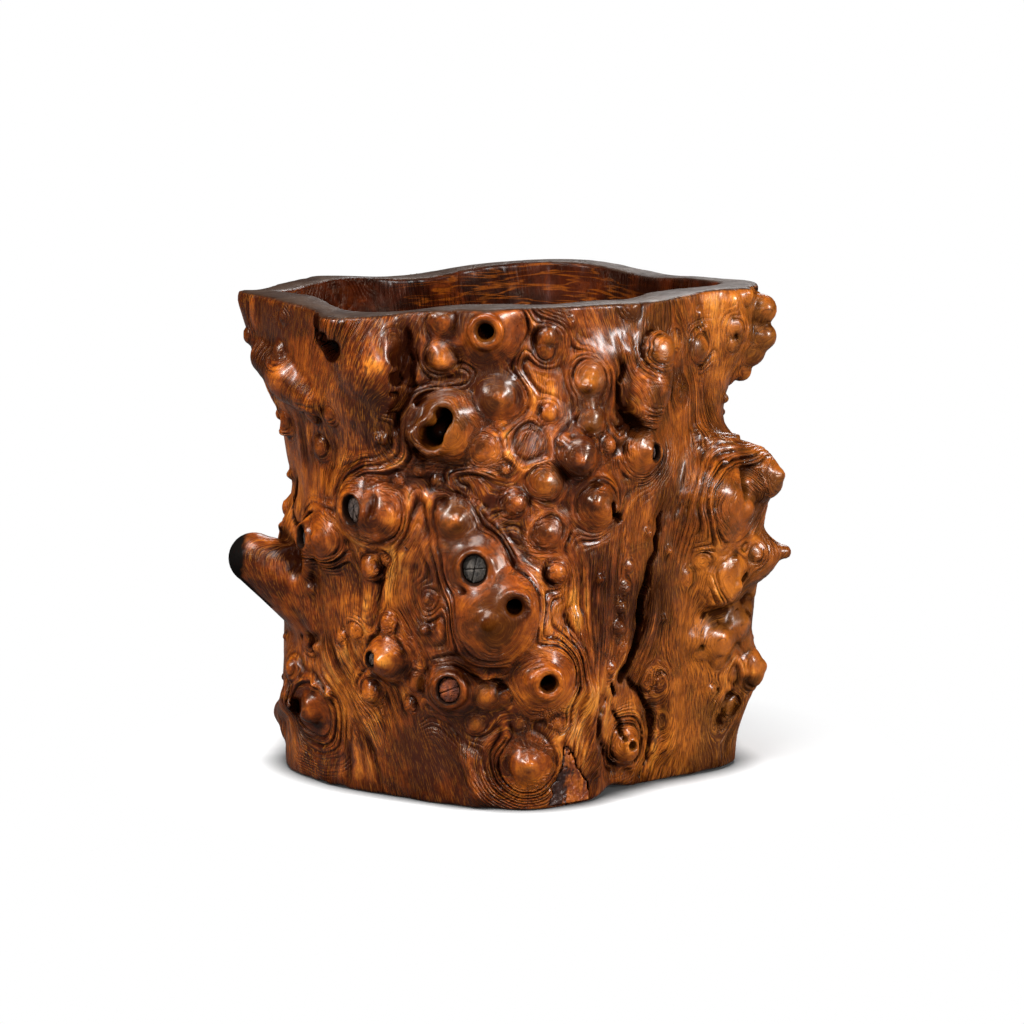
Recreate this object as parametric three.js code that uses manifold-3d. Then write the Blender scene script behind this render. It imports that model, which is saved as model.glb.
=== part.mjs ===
// Root wood brush pot: one hollowed burl with knobs and knot holes, a floor board let in from
// below, dead knots that lie loose in their sockets, and a dark wedge of older wood in the foot.
// Millimetres, +Z up. The pot stands on Z = 0 with the middle of its outline over the origin.
// The front faces -Y. Directions go round the pot in degrees: 0 is +X, 90 is the back, 270 the front.

import * as THREE from 'three';
import { mergeVertices } from 'three/addons/utils/BufferGeometryUtils.js';
import Module from 'manifold-3d';

const wasm = await Module();
wasm.setup();

// Overall sizes
const potHeight = 180;
const rimRadius = 84;
const waistRadius = 83;
const waistHeight = 90;
const footRadius = 76;

// Wall and floor
const rimThickness = 12;
const waistThickness = 20;
const cavityFloorRadius = 46;
const cavityRise = 70;
const boardLedge = 5;
const boardRadius = cavityFloorRadius + boardLedge;
const boardThickness = 10;
const boardRecess = 1.5;
const fitGap = 0.3;

// How far a cut runs on past the wood, and how near two points count as one
const cutPast = 1;
const reachPastWall = 30;
const mergeReach = 1e-4;

// How finely the burl is cut into facets
const facetsAround = 84;
const facetsUp = 34;
const cavityFacetsAround = 48;
const cavityFacetsUp = 14;
const boardFacets = 64;
const roundFacets = 16;

// How far the outline of each level stands out from its mean radius, every 15 degrees from +X
const rimLobes = [
  8, 0, -5, -6, 1, 4, -4, -11, -16, -15, -10, -2,
  8, 18, 8, 14, 15, -4, -6, -4, -9, -10, -14, -6,
];
const waistLobes = [6, 1, -1, -3, -1, 1, -1, -4, -6, -6, -4, -1, 1, 3, 1, 2, 3, 2, 2, 1, -3, -7, -3, 5];
const footLobes = [8, 2, 0, -2, -1, 0, 0, -1, -2, 0, 3, 6, 8, 8, 5, 3, 2, 7, 12, 13, -5, -13, -4, 4];

// Knobs that swell from the burl, and hollows where the reach is negative
const knobs = [
  { name: 'upper front', direction: 265.5, up: 170, spread: 11, reach: 7 },
  { name: 'kidney', direction: 255, up: 136, spread: 12, reach: 8 },
  { name: 'tapering lobe', direction: 238, up: 150, spread: 17, reach: 5 },
  { name: 'nose', direction: 312, up: 160, spread: 8, reach: 8 },
  { name: 'lumpy cap', direction: 288, up: 126, spread: 9, reach: 7 },
  { name: 'middle cone', direction: 266, up: 70, spread: 14, reach: 11 },
  { name: 'low ringed', direction: 279, up: 45, spread: 10, reach: 7 },
  { name: 'left ringed', direction: 236, up: 106, spread: 14, reach: 8 },
  { name: 'left edge', direction: 217, up: 93, spread: 10, reach: 7 },
  { name: 'centre', direction: 262, up: 87, spread: 12, reach: 5 },
  { name: 'low middle', direction: 256, up: 44, spread: 11, reach: 5 },
  { name: 'right amber', direction: 309, up: 126, spread: 8, reach: 5 },
  { name: 'low left', direction: 238, up: 53, spread: 9, reach: 5 },
  { name: 'left foot', direction: 204, up: 33, spread: 12, reach: 8 },
  { name: 'right dome', direction: 338, up: 80, spread: 12, reach: 6 },
  { name: 'right ringed', direction: 344, up: 107, spread: 14, reach: 15 },
  { name: 'top of the right ringed', direction: 352, up: 116, spread: 7, reach: 7 },
  { name: 'under the cone', direction: 350, up: 62, spread: 13, reach: 5 },
  { name: 'over the cone', direction: 352, up: 90, spread: 10, reach: 5 },
  { name: 'right low', direction: 352, up: 36, spread: 12, reach: 11 },
  { name: 'right foot', direction: 350, up: 18, spread: 11, reach: 6 },
  { name: 'right shoulder', direction: 352, up: 163, spread: 13, reach: 8 },
  { name: 'hollow under the right shoulder', direction: 353, up: 136, spread: 13, reach: -12 },
  { name: 'back of that hollow', direction: 11, up: 134, spread: 17, reach: -13 },
  { name: 'hollow under the left rim', direction: 188, up: 134, spread: 18, reach: -7 },
  { name: 'left waist', direction: 187, up: 112, spread: 12, reach: -9 },
  { name: 'back of the left waist', direction: 172, up: 110, spread: 15, reach: -7 },
  { name: 'over the left foot', direction: 190, up: 31, spread: 9, reach: -6 },
  { name: 'back upper right', direction: 30, up: 130, spread: 15, reach: 8 },
  { name: 'back lower right', direction: 62, up: 70, spread: 16, reach: 8 },
  { name: 'back top', direction: 86, up: 142, spread: 13, reach: 7 },
  { name: 'back low', direction: 106, up: 52, spread: 14, reach: 8 },
  { name: 'back upper left', direction: 130, up: 112, spread: 15, reach: 9 },
  { name: 'back lower left', direction: 152, up: 48, spread: 14, reach: 7 },
  { name: 'back left shoulder', direction: 161, up: 150, spread: 12, reach: 7 },
  { name: 'back right foot', direction: 20, up: 42, spread: 13, reach: 6 },
];

// The long furrow that sets the right buttress apart from the belly
const furrow = { direction: 312, top: 96, fade: 14, width: 7, depth: 7 };

// The charred stub at the left and the pointed cone at the right
const stub = { direction: 189, up: 76, inner: 70, outer: 104, rootRadius: 17, tipRadius: 10 };
const cone = { direction: 351, up: 78, inner: 76, outer: 105, rootRadius: 13, tipRadius: 1.5 };

// Open knot holes: mouth radius and depth below the surface
const knotHoles = [
  { direction: 265.5, up: 172, mouth: 3.4, depth: 9 },
  { direction: 255.5, up: 139, mouth: 5, depth: 12 },
  { direction: 254, up: 133, mouth: 4.4, depth: 12 },
  { direction: 272.5, up: 76, mouth: 3.4, depth: 13 },
  { direction: 278.5, up: 47, mouth: 3.4, depth: 11 },
];

// Dead knots: half width and half height of the core, its length and how far it lies in its socket
const knotCores = [
  { name: 'knot_core_left_big', direction: 234.5, up: 107.5, wide: 3.2, high: 5, length: 12, recess: 1.6 },
  { name: 'knot_core_left_edge', direction: 215.7, up: 93.5, wide: 2.2, high: 4, length: 11, recess: 1.8 },
  { name: 'knot_core_centre', direction: 262.6, up: 88.5, wide: 4.4, high: 5.2, length: 13, recess: 0.8 },
  { name: 'knot_core_low', direction: 256.5, up: 44, wide: 4, high: 4.7, length: 12, recess: 0.7 },
  { name: 'knot_core_right', direction: 309.5, up: 126, wide: 1.8, high: 2.8, length: 10, recess: 0.9 },
  { name: 'knot_core_low_left', direction: 236.8, up: 52.5, wide: 1.8, high: 2.6, length: 9, recess: 0.5 },
];

// The dark wedge in the front of the foot. Its seat is wider by more than the fit gap, because the gap
// is measured square to its slanting sides
const wedge = { direction: 284, left: 14, right: 30.5, apexAcross: 20, apexUp: 23, bottom: 0.8, depth: 15 };
const slantShare = 1.6;

// Finishes
const burlWood = new THREE.MeshStandardMaterial({ color: 0x7a3a1e, roughness: 0.34, metalness: 0 });
const boardWood = new THREE.MeshStandardMaterial({ color: 0x5d3a24, roughness: 0.6, metalness: 0 });
const deadKnot = new THREE.MeshStandardMaterial({ color: 0x4a443c, roughness: 0.8, metalness: 0 });
const wedgeWood = new THREE.MeshStandardMaterial({ color: 0x35190f, roughness: 0.55, metalness: 0 });

const radians = THREE.MathUtils.degToRad;

function smooth(share) {
  return THREE.MathUtils.smoothstep(share, 0, 1);
}

// The height of an outline at a direction, on a smooth closed curve through its lobes
function lobeAt(lobes, degrees) {
  const step = 360 / lobes.length;
  const place = THREE.MathUtils.euclideanModulo(degrees, 360) / step;
  const index = Math.floor(place);
  const t = place - index;
  const pick = (offset) => lobes[(index + offset + lobes.length) % lobes.length];
  const rise = (pick(1) - pick(-1)) / 2;
  const nextRise = (pick(2) - pick(0)) / 2;
  const t2 = t * t;
  const t3 = t2 * t;
  return (2 * t3 - 3 * t2 + 1) * pick(0) + (t3 - 2 * t2 + t) * rise
    + (3 * t2 - 2 * t3) * pick(1) + (t3 - t2) * nextRise;
}

// The burl without its knobs
function trunkRadius(degrees, up) {
  const waist = waistRadius + lobeAt(waistLobes, degrees);
  if (up < waistHeight) {
    const foot = footRadius + lobeAt(footLobes, degrees);
    return THREE.MathUtils.lerp(foot, waist, smooth(up / waistHeight));
  }
  const rim = rimRadius + lobeAt(rimLobes, degrees);
  return THREE.MathUtils.lerp(waist, rim, smooth((up - waistHeight) / (potHeight - waistHeight)));
}

function turnBetween(a, b) {
  return THREE.MathUtils.euclideanModulo(a - b + 180, 360) - 180;
}

function furrowDepth(degrees, up, radius) {
  const across = radians(turnBetween(degrees, furrow.direction)) * radius;
  const fade = 1 - smooth((up - furrow.top) / furrow.fade);
  return furrow.depth * fade * Math.exp(-((across / furrow.width) ** 2));
}

// The outside of the burl with its knobs, hollows and furrow
function burlRadius(degrees, up) {
  const trunk = trunkRadius(degrees, up);
  const swell = knobs.reduce((total, knob) => {
    const across = radians(turnBetween(degrees, knob.direction)) * trunk;
    const away = (across ** 2 + (up - knob.up) ** 2) / knob.spread ** 2;
    return total + knob.reach * Math.exp(-away);
  }, 0);
  return trunk + swell - furrowDepth(degrees, up, trunk);
}

// The hollow: round at the floor, and in step with the outside at the rim
function cavityRadius(degrees, up) {
  const floorTop = boardRecess + boardThickness;
  const share = smooth((up - floorTop) / cavityRise);
  const rise = THREE.MathUtils.clamp((potHeight - up) / (potHeight - waistHeight), 0, 1);
  const thickness = THREE.MathUtils.lerp(rimThickness, waistThickness, rise);
  return THREE.MathUtils.lerp(cavityFloorRadius, trunkRadius(degrees, up) - thickness, share);
}

// Turns a closed geometry into a solid that can be joined and cut
function solidFrom(geometry) {
  geometry.deleteAttribute('normal');
  geometry.deleteAttribute('uv');
  const merged = mergeVertices(geometry, mergeReach);
  return new wasm.Manifold(new wasm.Mesh({
    numProp: 3,
    vertProperties: new Float32Array(merged.attributes.position.array),
    triVerts: new Uint32Array(merged.index.array),
  }));
}

function geometryFrom(solid) {
  const mesh = solid.getMesh();
  const geometry = new THREE.BufferGeometry();
  geometry.setAttribute('position', new THREE.BufferAttribute(mesh.vertProperties, 3));
  geometry.setIndex(new THREE.BufferAttribute(mesh.triVerts, 1));
  geometry.computeVertexNormals();
  return geometry;
}

// A closed solid round the Z axis whose radius follows a rule of direction and height
function roundedSolid(radiusAt, heights, around) {
  const points = [];
  const faces = [];
  heights.forEach((up) => {
    for (let i = 0; i < around; i += 1) {
      const degrees = (i * 360) / around;
      const radius = radiusAt(degrees, up);
      points.push(radius * Math.cos(radians(degrees)), radius * Math.sin(radians(degrees)), up);
    }
  });
  const bottom = points.length / 3;
  points.push(0, 0, heights[0]);
  const top = bottom + 1;
  points.push(0, 0, heights[heights.length - 1]);
  for (let row = 0; row < heights.length - 1; row += 1) {
    for (let i = 0; i < around; i += 1) {
      const a = row * around + i;
      const b = row * around + ((i + 1) % around);
      faces.push(a, b, b + around, a, b + around, a + around);
    }
  }
  const lastRow = (heights.length - 1) * around;
  for (let i = 0; i < around; i += 1) {
    const next = (i + 1) % around;
    faces.push(bottom, next, i, top, lastRow + i, lastRow + next);
  }
  const geometry = new THREE.BufferGeometry();
  geometry.setAttribute('position', new THREE.Float32BufferAttribute(points, 3));
  geometry.setIndex(faces);
  return solidFrom(geometry);
}

function evenHeights(from, to, count) {
  return Array.from({ length: count + 1 }, (_, i) => from + ((to - from) * i) / count);
}

// A level peg that points outwards, from one distance from the axis to another
function radialPeg(direction, up, from, to, innerRadii, outerRadii) {
  const geometry = new THREE.CylinderGeometry(1, 1, 1, roundFacets, 1);
  const position = geometry.attributes.position;
  for (let i = 0; i < position.count; i += 1) {
    const outer = position.getY(i) > 0;
    const radii = outer ? outerRadii : innerRadii;
    position.setXYZ(i, position.getX(i) * radii.wide, outer ? to : from, position.getZ(i) * radii.high);
  }
  geometry.rotateZ(radians(direction - 90));
  geometry.translate(0, 0, up);
  return solidFrom(geometry);
}

function evenRadii(radius) {
  return { wide: radius, high: radius };
}

function taperedLimb(limb) {
  const root = evenRadii(limb.rootRadius);
  const tip = evenRadii(limb.tipRadius);
  return radialPeg(limb.direction, limb.up, limb.inner, limb.outer, root, tip);
}

function uprightDisc(radius, from, to) {
  const geometry = new THREE.CylinderGeometry(radius, radius, to - from, boardFacets);
  geometry.rotateX(Math.PI / 2);
  geometry.translate(0, 0, (from + to) / 2);
  return solidFrom(geometry);
}

// A three-cornered prism at the front of the foot, grown by a gap on every side
function wedgePrism(gap, inner, outer) {
  const side = gap * slantShare;
  const outline = new THREE.Shape();
  outline.moveTo(wedge.left - side, wedge.bottom - gap);
  outline.lineTo(wedge.right + side, wedge.bottom - gap);
  outline.lineTo(wedge.apexAcross + side, wedge.apexUp + gap);
  outline.lineTo(wedge.apexAcross - side, wedge.apexUp + gap);
  outline.closePath();
  const geometry = new THREE.ExtrudeGeometry(outline, { depth: outer - inner, bevelEnabled: false });
  geometry.rotateX(Math.PI / 2);
  geometry.translate(0, -inner, 0);
  return solidFrom(geometry);
}

function coreMiddle(core) {
  return burlRadius(core.direction, core.up) - core.recess;
}

function corePeg(core, gap, extraOut) {
  const outer = coreMiddle(core);
  const radii = { wide: core.wide + gap, high: core.high + gap };
  return radialPeg(core.direction, core.up, outer - core.length - gap, outer + extraOut, radii, radii);
}

function knotHole(hole) {
  const surface = burlRadius(hole.direction, hole.up);
  const mouth = evenRadii(hole.mouth);
  return radialPeg(hole.direction, hole.up, surface - hole.depth, surface + reachPastWall, mouth, mouth);
}

function burlBlank() {
  const body = roundedSolid(burlRadius, evenHeights(0, potHeight, facetsUp), facetsAround);
  return body.add(taperedLimb(stub)).add(taperedLimb(cone));
}

function cavity() {
  const heights = evenHeights(0, potHeight + cutPast, cavityFacetsUp);
  return roundedSolid(cavityRadius, heights, cavityFacetsAround);
}

const blank = burlBlank();
const wedgeFront = footRadius + reachPastWall;
const wedgeBack = burlRadius(wedge.direction, wedge.apexUp / 2) - wedge.depth;

function burlWall() {
  const rebateTop = boardRecess + boardThickness + fitGap;
  let wall = blank.subtract(cavity()).subtract(uprightDisc(boardRadius + fitGap, -cutPast, rebateTop));
  wall = wall.subtract(wedgePrism(fitGap, wedgeBack - fitGap, wedgeFront));
  knotHoles.forEach((hole) => {
    wall = wall.subtract(knotHole(hole));
  });
  knotCores.forEach((core) => {
    wall = wall.subtract(corePeg(core, fitGap, reachPastWall));
  });
  return wall;
}

function footWedge() {
  return blank.intersect(wedgePrism(0, wedgeBack, wedgeFront));
}

function floorBoard() {
  return uprightDisc(boardRadius, boardRecess, boardRecess + boardThickness);
}

function pieceMesh(name, solid, material) {
  const mesh = new THREE.Mesh(geometryFrom(solid), material);
  mesh.name = name;
  return mesh;
}

// The middle of the outline seen from above comes over the origin
function centreOverOrigin(group) {
  const middle = new THREE.Box3().setFromObject(group).getCenter(new THREE.Vector3());
  group.position.set(-middle.x, -middle.y, 0);
}

const pot = new THREE.Group();
pot.add(pieceMesh('burl_wall', burlWall(), burlWood));
pot.add(pieceMesh('floor_board', floorBoard(), boardWood));
pot.add(pieceMesh('foot_wedge', footWedge(), wedgeWood));
knotCores.forEach((core) => {
  pot.add(pieceMesh(core.name, corePeg(core, 0, 0), deadKnot));
});
centreOverOrigin(pot);

export default pot;
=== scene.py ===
import math
from collections import namedtuple

import bpy
import numpy as np
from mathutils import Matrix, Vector
from mathutils.bvhtree import BVHTree


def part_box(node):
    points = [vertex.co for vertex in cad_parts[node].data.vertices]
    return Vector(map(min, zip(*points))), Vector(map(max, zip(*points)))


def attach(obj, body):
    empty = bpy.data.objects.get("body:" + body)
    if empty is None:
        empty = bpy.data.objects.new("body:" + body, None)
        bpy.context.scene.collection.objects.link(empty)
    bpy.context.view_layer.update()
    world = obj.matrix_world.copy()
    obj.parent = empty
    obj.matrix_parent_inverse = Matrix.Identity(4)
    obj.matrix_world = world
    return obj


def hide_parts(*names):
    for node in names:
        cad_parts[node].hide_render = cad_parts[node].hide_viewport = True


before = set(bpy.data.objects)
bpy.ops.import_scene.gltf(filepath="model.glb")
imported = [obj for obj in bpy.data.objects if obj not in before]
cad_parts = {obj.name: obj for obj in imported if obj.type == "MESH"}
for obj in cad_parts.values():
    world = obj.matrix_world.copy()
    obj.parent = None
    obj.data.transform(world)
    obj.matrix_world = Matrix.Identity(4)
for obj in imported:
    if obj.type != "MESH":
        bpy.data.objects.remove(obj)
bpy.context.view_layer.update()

MM = 0.001
rng = np.random.default_rng(7)

# The photograph's view, in metres and degrees, and its picture size
PHOTO_SIZE = 1024
SENSOR = 36.0
CAMERA_LENS = 152.5
CAMERA_ELEVATION = math.radians(9.5)
CAMERA_DISTANCE = 1.62
CAMERA_TARGET = Vector((0.0015, 0.0, 0.0942))
CAMERA_FORWARD = Vector((0, math.cos(CAMERA_ELEVATION), -math.sin(CAMERA_ELEVATION)))
CAMERA_UP = Vector((0, math.sin(CAMERA_ELEVATION), math.cos(CAMERA_ELEVATION)))
CAMERA_PLACE = CAMERA_TARGET - CAMERA_DISTANCE * CAMERA_FORWARD

CORNERS = [[(corner >> axis) & 1 for axis in range(3)] for corner in range(8)]


def in_millimetres(box):
    """The low and high corners of a CAD node's box, in millimetres."""
    return [np.array(corner) / MM for corner in box]


# Sizes from the frame, in millimetres
board_low, board_high = in_millimetres(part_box("floor_board"))
axis_x, axis_y = (board_low + board_high)[:2] / 2
board_radius = (board_high - board_low)[0] / 2
wall_low, wall_high = in_millimetres(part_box("burl_wall"))
rim_height = wall_high[2]
seat_gap = 0.3

# The carving grid, in millimetres
GRID_STEP = 0.8
GRID_MARGIN = 6.0
WALL_TRIANGLES = 190000

# A knob: photo column and row of its middle, radius and rise in millimetres, and the radius of
# its open mouth, where it has one
Knob = namedtuple("Knob", "column row radius rise mouth", defaults=[0])
FRONT_KNOBS = [Knob(*sizes) for sizes in [
    (487, 330, 9.6, 5.4, 3.4), (443, 357, 5.0, 4.0), (443, 322, 4.6, 3.0), (394, 344, 3.8, 3.4),
    (373, 349, 2.2, 1.6), (497, 397, 6.4, 4.2), (507, 396, 2.8, 4.4), (484, 450, 6.4, 1.0),
    (547, 337, 3.2, 2.4), (590, 379, 6.6, 0.9), (631, 307, 3.6, 2.4), (549, 413, 2.8, 1.8),
    (592, 422, 4.8, 3.0), (578, 456, 7.2, 5.6), (565, 441, 2.4, 3.0), (578, 439, 2.6, 3.4),
    (592, 443, 2.4, 3.0), (608, 445, 3.0, 2.4), (545, 482, 6.2, 2.4), (547, 532, 5.6, 2.0),
    (514, 503, 4.0, 3.6), (455, 520, 7.0, 4.4), (455, 504, 2.6, 3.2), (597, 503, 8.0, 4.6),
    (494, 620, 14.0, 6.0), (514, 604, 7.0, 6.4, 3.4), (542, 680, 10.4, 4.8), (546, 681, 5.4, 5.0, 3.3),
    (557, 573, 3.4, 2.2), (371, 567, 4.2, 3.0), (386, 559, 1.6, 1.4), (390, 623, 3.2, 2.4),
    (372, 690, 4.4, 3.2), (356, 631, 2.4, 1.8), (342, 637, 2.2, 1.6), (309, 640, 2.4, 1.8),
    (418, 682, 3.2, 2.0), (411, 705, 2.0, 1.6), (476, 724, 2.8, 1.8), (489, 695, 4.6, 2.8),
    (505, 696, 2.4, 2.2), (520, 723, 2.2, 1.6), (556, 723, 2.2, 1.6), (528, 764, 5.6, 3.4),
    (622, 743, 6.8, 6.0, 1.6), (284, 316, 2.2, 1.6), (295, 396, 2.0, 1.6), (315, 414, 3.0, 2.2),
    (331, 414, 3.0, 2.0), (321, 447, 3.4, 2.4), (389, 399, 2.8, 2.0), (311, 708, 4.6, 5.2),
    (292, 668, 3.2, 2.4), (699, 348, 4.8, 2.6), (730, 326, 3.2, 2.0), (742, 371, 3.4, 2.6),
    (729, 345, 2.6, 2.0), (752, 352, 4.8, 4.0), (763, 336, 5.0, 2.8), (763, 309, 5.2, 3.0),
    (744, 296, 3.8, 3.0), (244, 303, 2.2, 1.6), (249, 335, 3.2, 2.2), (281, 351, 3.4, 3.4),
    (287, 421, 3.6, 2.4), (288, 506, 2.8, 2.4), (735, 506, 12.5, 4.0), (764, 477, 7.6, 6.4),
    (727, 578, 9.0, 4.4), (753, 553, 2.6, 2.0), (751, 591, 3.4, 1.8), (748, 608, 3.4, 1.6),
    (738, 622, 5.4, 2.4), (716, 640, 6.4, 3.8), (716, 659, 3.4, 2.6), (698, 651, 2.6, 2.0),
    (751, 668, 6.6, 4.8), (728, 708, 4.0, 2.6), (685, 577, 3.2, 2.4), (376, 514, 9.0, 3.4),
    (325, 537, 8.0, 3.6), (389, 657, 7.2, 5.0), (657, 350, 5.8, 5.0), (640, 450, 8.2, 4.4),
    (546, 352, 2.4, 1.2), (505, 470, 1.6, 1.2), (437, 480, 1.8, 1.2), (418, 470, 1.6, 1.0),
    (400, 480, 1.8, 1.2), (446, 545, 1.6, 1.2), (428, 600, 1.5, 1.0), (590, 402, 2.6, 1.4),
    (700, 560, 2.4, 1.4), (704, 640, 2.6, 1.6), (712, 690, 2.0, 1.2), (745, 640, 3.2, 2.2),
]]
HOLE_DEPTH = 10.0

# Beads along the left edge of the long crevice: photo places and radii in millimetres
BEADS = [
    ((629, 566), 2.0), ((624, 588), 2.6), ((621, 607), 2.2), ((618, 628), 3.0), ((622, 648), 2.4),
    ((611, 668), 2.6),
]

# The kidney-shaped mouth: photo place, rise, half width, stretch upwards, and its holes' places and radii
Kidney = namedtuple("Kidney", "place rise wide stretch holes")
KIDNEY = Kidney((444, 428), 4.6, 10.2, 2.6, [((447, 416), 3.4), ((441, 426), 3.2), ((434.5, 435), 4.5)])

# Places round which the folds run in rings: photo place and radius in millimetres
FOLD_EYES = [
    ((312, 712), 10.0), ((446, 428), 13.0), ((372, 506), 10.5), ((478, 566), 10.5), ((500, 612), 13.5),
    ((546, 681), 11.0), ((497, 400), 9.5), ((489, 332), 12.5), ((735, 505), 12.5), ((528, 764), 10.0),
]

# Darker and paler parts of the burl, partly the wood's own patches and partly painted shade, as on the long
# crevice's flanks: photo place, radius in millimetres, and the change
ZONES = [
    ((385, 405), 20.0, -0.9), ((268, 362), 13.0, -0.7), ((340, 330), 12.0, -0.5), ((312, 470), 15.0, -0.3),
    ((425, 745), 13.0, -0.7), ((425, 625), 10.0, -0.4), ((575, 475), 9.0, -0.6), ((640, 300), 14.0, -0.5),
    ((715, 750), 12.0, -1.4), ((645, 640), 9.0, -0.5), ((545, 395), 12.0, 0.4), ((697, 470), 16.0, 0.6),
    ((575, 610), 15.0, 0.5), ((735, 560), 13.0, 0.5), ((560, 700), 13.0, 0.3), ((330, 640), 16.0, -0.2),
    ((364, 765), 9.0, -0.9), ((385, 690), 9.0, -0.4), ((302, 376), 7.0, -0.5), ((300, 716), 9.0, -0.8),
    ((283, 322), 13.0, -0.7), ((757, 332), 12.0, -1.0), ((374, 514), 10.0, -1.0), ((495, 394), 8.0, -0.7),
    ((484, 450), 7.0, -0.8), ((492, 624), 10.0, -0.5), ((325, 537), 8.0, -0.6), ((640, 610), 8.0, -0.8),
    ((650, 565), 7.0, -0.6), ((650, 715), 7.0, -0.7), ((716, 716), 6.0, -1.0), ((742, 600), 7.0, -0.5),
    ((420, 310), 8.0, -0.8), ((540, 300), 9.0, -0.6), ((350, 590), 9.0, -0.4), ((470, 660), 7.0, -0.5),
    ((600, 470), 9.0, 0.4), ((545, 482), 8.0, 0.5), ((660, 600), 8.0, -0.3), ((472, 308), 12.0, -0.5),
    ((578, 454), 7.0, -0.5), ((590, 378), 9.0, 0.4), ((705, 400), 10.0, 0.4), ((640, 730), 9.0, -0.3),
]

# Parts without folds: photo place and radius in millimetres
PLAIN_PARTS = [
    ((652, 392), 8.0), ((682, 590), 11.0), ((684, 640), 13.0), ((684, 690), 14.0), ((692, 745), 12.0),
    ((378, 376), 12.0), ((330, 605), 9.0), ((400, 760), 9.0),
]

# Knobs that hold a dead knot: their core's node, the knob's radius and rise, the core's half width
# and half height, its turn in degrees, how far it lies in its mouth, its cracks' turns, and how brown it is
CoreKnob = namedtuple("CoreKnob", "node radius rise wide high turn sunk cracks brown")
CORE_KNOBS = [
    CoreKnob("knot_core_left_big", 8.0, 3.6, 3.0, 4.9, 12, 1.4, (80, 110), 0.15),
    CoreKnob("knot_core_left_edge", 6.0, 3.8, 2.1, 3.9, -8, 1.6, (95,), 0.1),
    CoreKnob("knot_core_centre", 10.0, 4.4, 4.2, 5.0, 0, 0.9, (4, 78), 0.0),
    CoreKnob("knot_core_low", 8.6, 4.2, 3.8, 4.5, 0, 0.5, (22,), 1.0),
    CoreKnob("knot_core_right", 4.4, 4.2, 1.7, 2.7, 10, 1.2, (100,), 0.3),
    CoreKnob("knot_core_low_left", 4.6, 4.5, 1.7, 2.5, 0, 0.6, (60,), 0.2),
]
CORE_LENGTH = 8.0
SOCKET_GAP = 0.35
SOCKET_TINT = 0.15
MOUTH_DEPTH = 3.0

# A limb that runs over the burl: photo places with the limb's radius there, in millimetres
Limb = namedtuple("Limb", "places radii sink")
LIMBS = [
    Limb([(345, 325), (365, 365), (384, 404)], [16.0, 14.0, 9.0], 7.0),
    Limb([(262, 357), (286, 378), (314, 402)], [7.0, 9.0, 7.0], 3.0),
    Limb([(657, 352), (648, 385), (640, 415)], [7.0, 8.8, 8.4], 1.0),
    Limb([(288, 548), (285, 572), (290, 594)], [2.2, 3.0, 2.2], -5.0),
    Limb([(299, 540), (295, 574), (302, 604)], [2.4, 3.2, 2.2], -3.0),
    Limb([(312, 548), (309, 585), (317, 628)], [2.2, 2.8, 1.8], -0.8),
    Limb([(287, 697), (283, 711), (286, 728)], [5.0, 6.0, 5.0], 3.0),
    Limb([(690, 530), (678, 600), (668, 680), (665, 740)], [5.0, 7.0, 8.5, 9.0], 5.0),
    Limb([(470, 470), (430, 500), (405, 560)], [4.4, 3.6, 3.0], 2.6),
    Limb([(575, 620), (585, 690), (592, 760)], [4.0, 5.0, 5.5], 3.2),
    Limb([(440, 735), (470, 760), (480, 795)], [3.6, 4.4, 5.0], 2.8),
    Limb([(736, 300), (740, 330), (734, 360)], [5.5, 6.0, 4.0], 3.4),
    Limb([(700, 440), (730, 452), (760, 462)], [5.0, 6.5, 6.5], 3.0),
    Limb([(694, 640), (720, 640), (745, 620)], [6.0, 7.5, 6.0], 3.6),
]

# Creases: photo places, half width and depth in millimetres, and the radius of the valley round it, where
# it lies in one
Crease = namedtuple("Crease", "places width depth valley", defaults=[0])
CREASES = [
    Crease([(664, 512), (658, 540), (650, 575), (643, 602), (640, 628), (635, 652), (622, 680)],
           0.9, 4.0, 6.6),
    Crease([(647, 583), (642, 608), (639, 632), (632, 655), (622, 680)], 1.5, 5.0),
    Crease([(606, 700), (599, 720), (602, 745), (611, 772)], 0.6, 2.6, 2.0),
    Crease([(622, 674), (640, 690), (648, 708), (650, 728), (647, 750), (641, 776)], 0.8, 3.0, 4.0),
    Crease([(611, 684), (614, 694)], 1.5, 6.0),
    Crease([(624, 362), (618, 385), (620, 410), (632, 428)], 0.7, 2.5, 1.4),
    Crease([(743, 466), (741, 480), (738, 498)], 0.6, 4.0),
    Crease([(738, 488), (741, 494)], 1.7, 5.0),
    Crease([(700, 617), (722, 612), (748, 600)], 0.6, 2.4, 2.5),
    Crease([(317, 332), (324, 344), (333, 350)], 2.4, 8.0),
    Crease([(611, 706), (618, 722), (617, 734), (622, 744)], 0.5, 3.0),
    Crease([(762, 533), (764, 543)], 1.4, 4.0),
    Crease([(763, 558), (766, 566)], 1.2, 4.0),
    Crease([(737, 688), (727, 706), (722, 722)], 1.0, 3.0, 3.0),
    Crease([(608, 500), (609, 516)], 1.0, 3.5),
    Crease([(612, 514), (621, 520)], 1.6, 4.0),
    Crease([(406, 330), (411, 360), (406, 400), (395, 430)], 0.8, 2.2, 1.5),
    Crease([(399, 334), (402, 362), (396, 392)], 0.6, 1.6),
    Crease([(294, 480), (292, 520), (300, 545)], 1.2, 3.0, 3.5),
]
# How far out from the trunk the cut of a crease begins
CREASE_START = 7.0

# Mouths cut along the photograph's view: photo place, radius, stretch upwards and depth in millimetres
Mouth = namedtuple("Mouth", "place radius stretch depth")
MOUTHS = [
    Mouth((296, 707), 1.7, 1.6, 6.0),
    Mouth((331, 351), 3.0, 0.8, 8.0),
    Mouth((314, 325), 1.9, 3.4, 7.0),
    Mouth((322, 341), 1.6, 1.6, 6.0),
]

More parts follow.
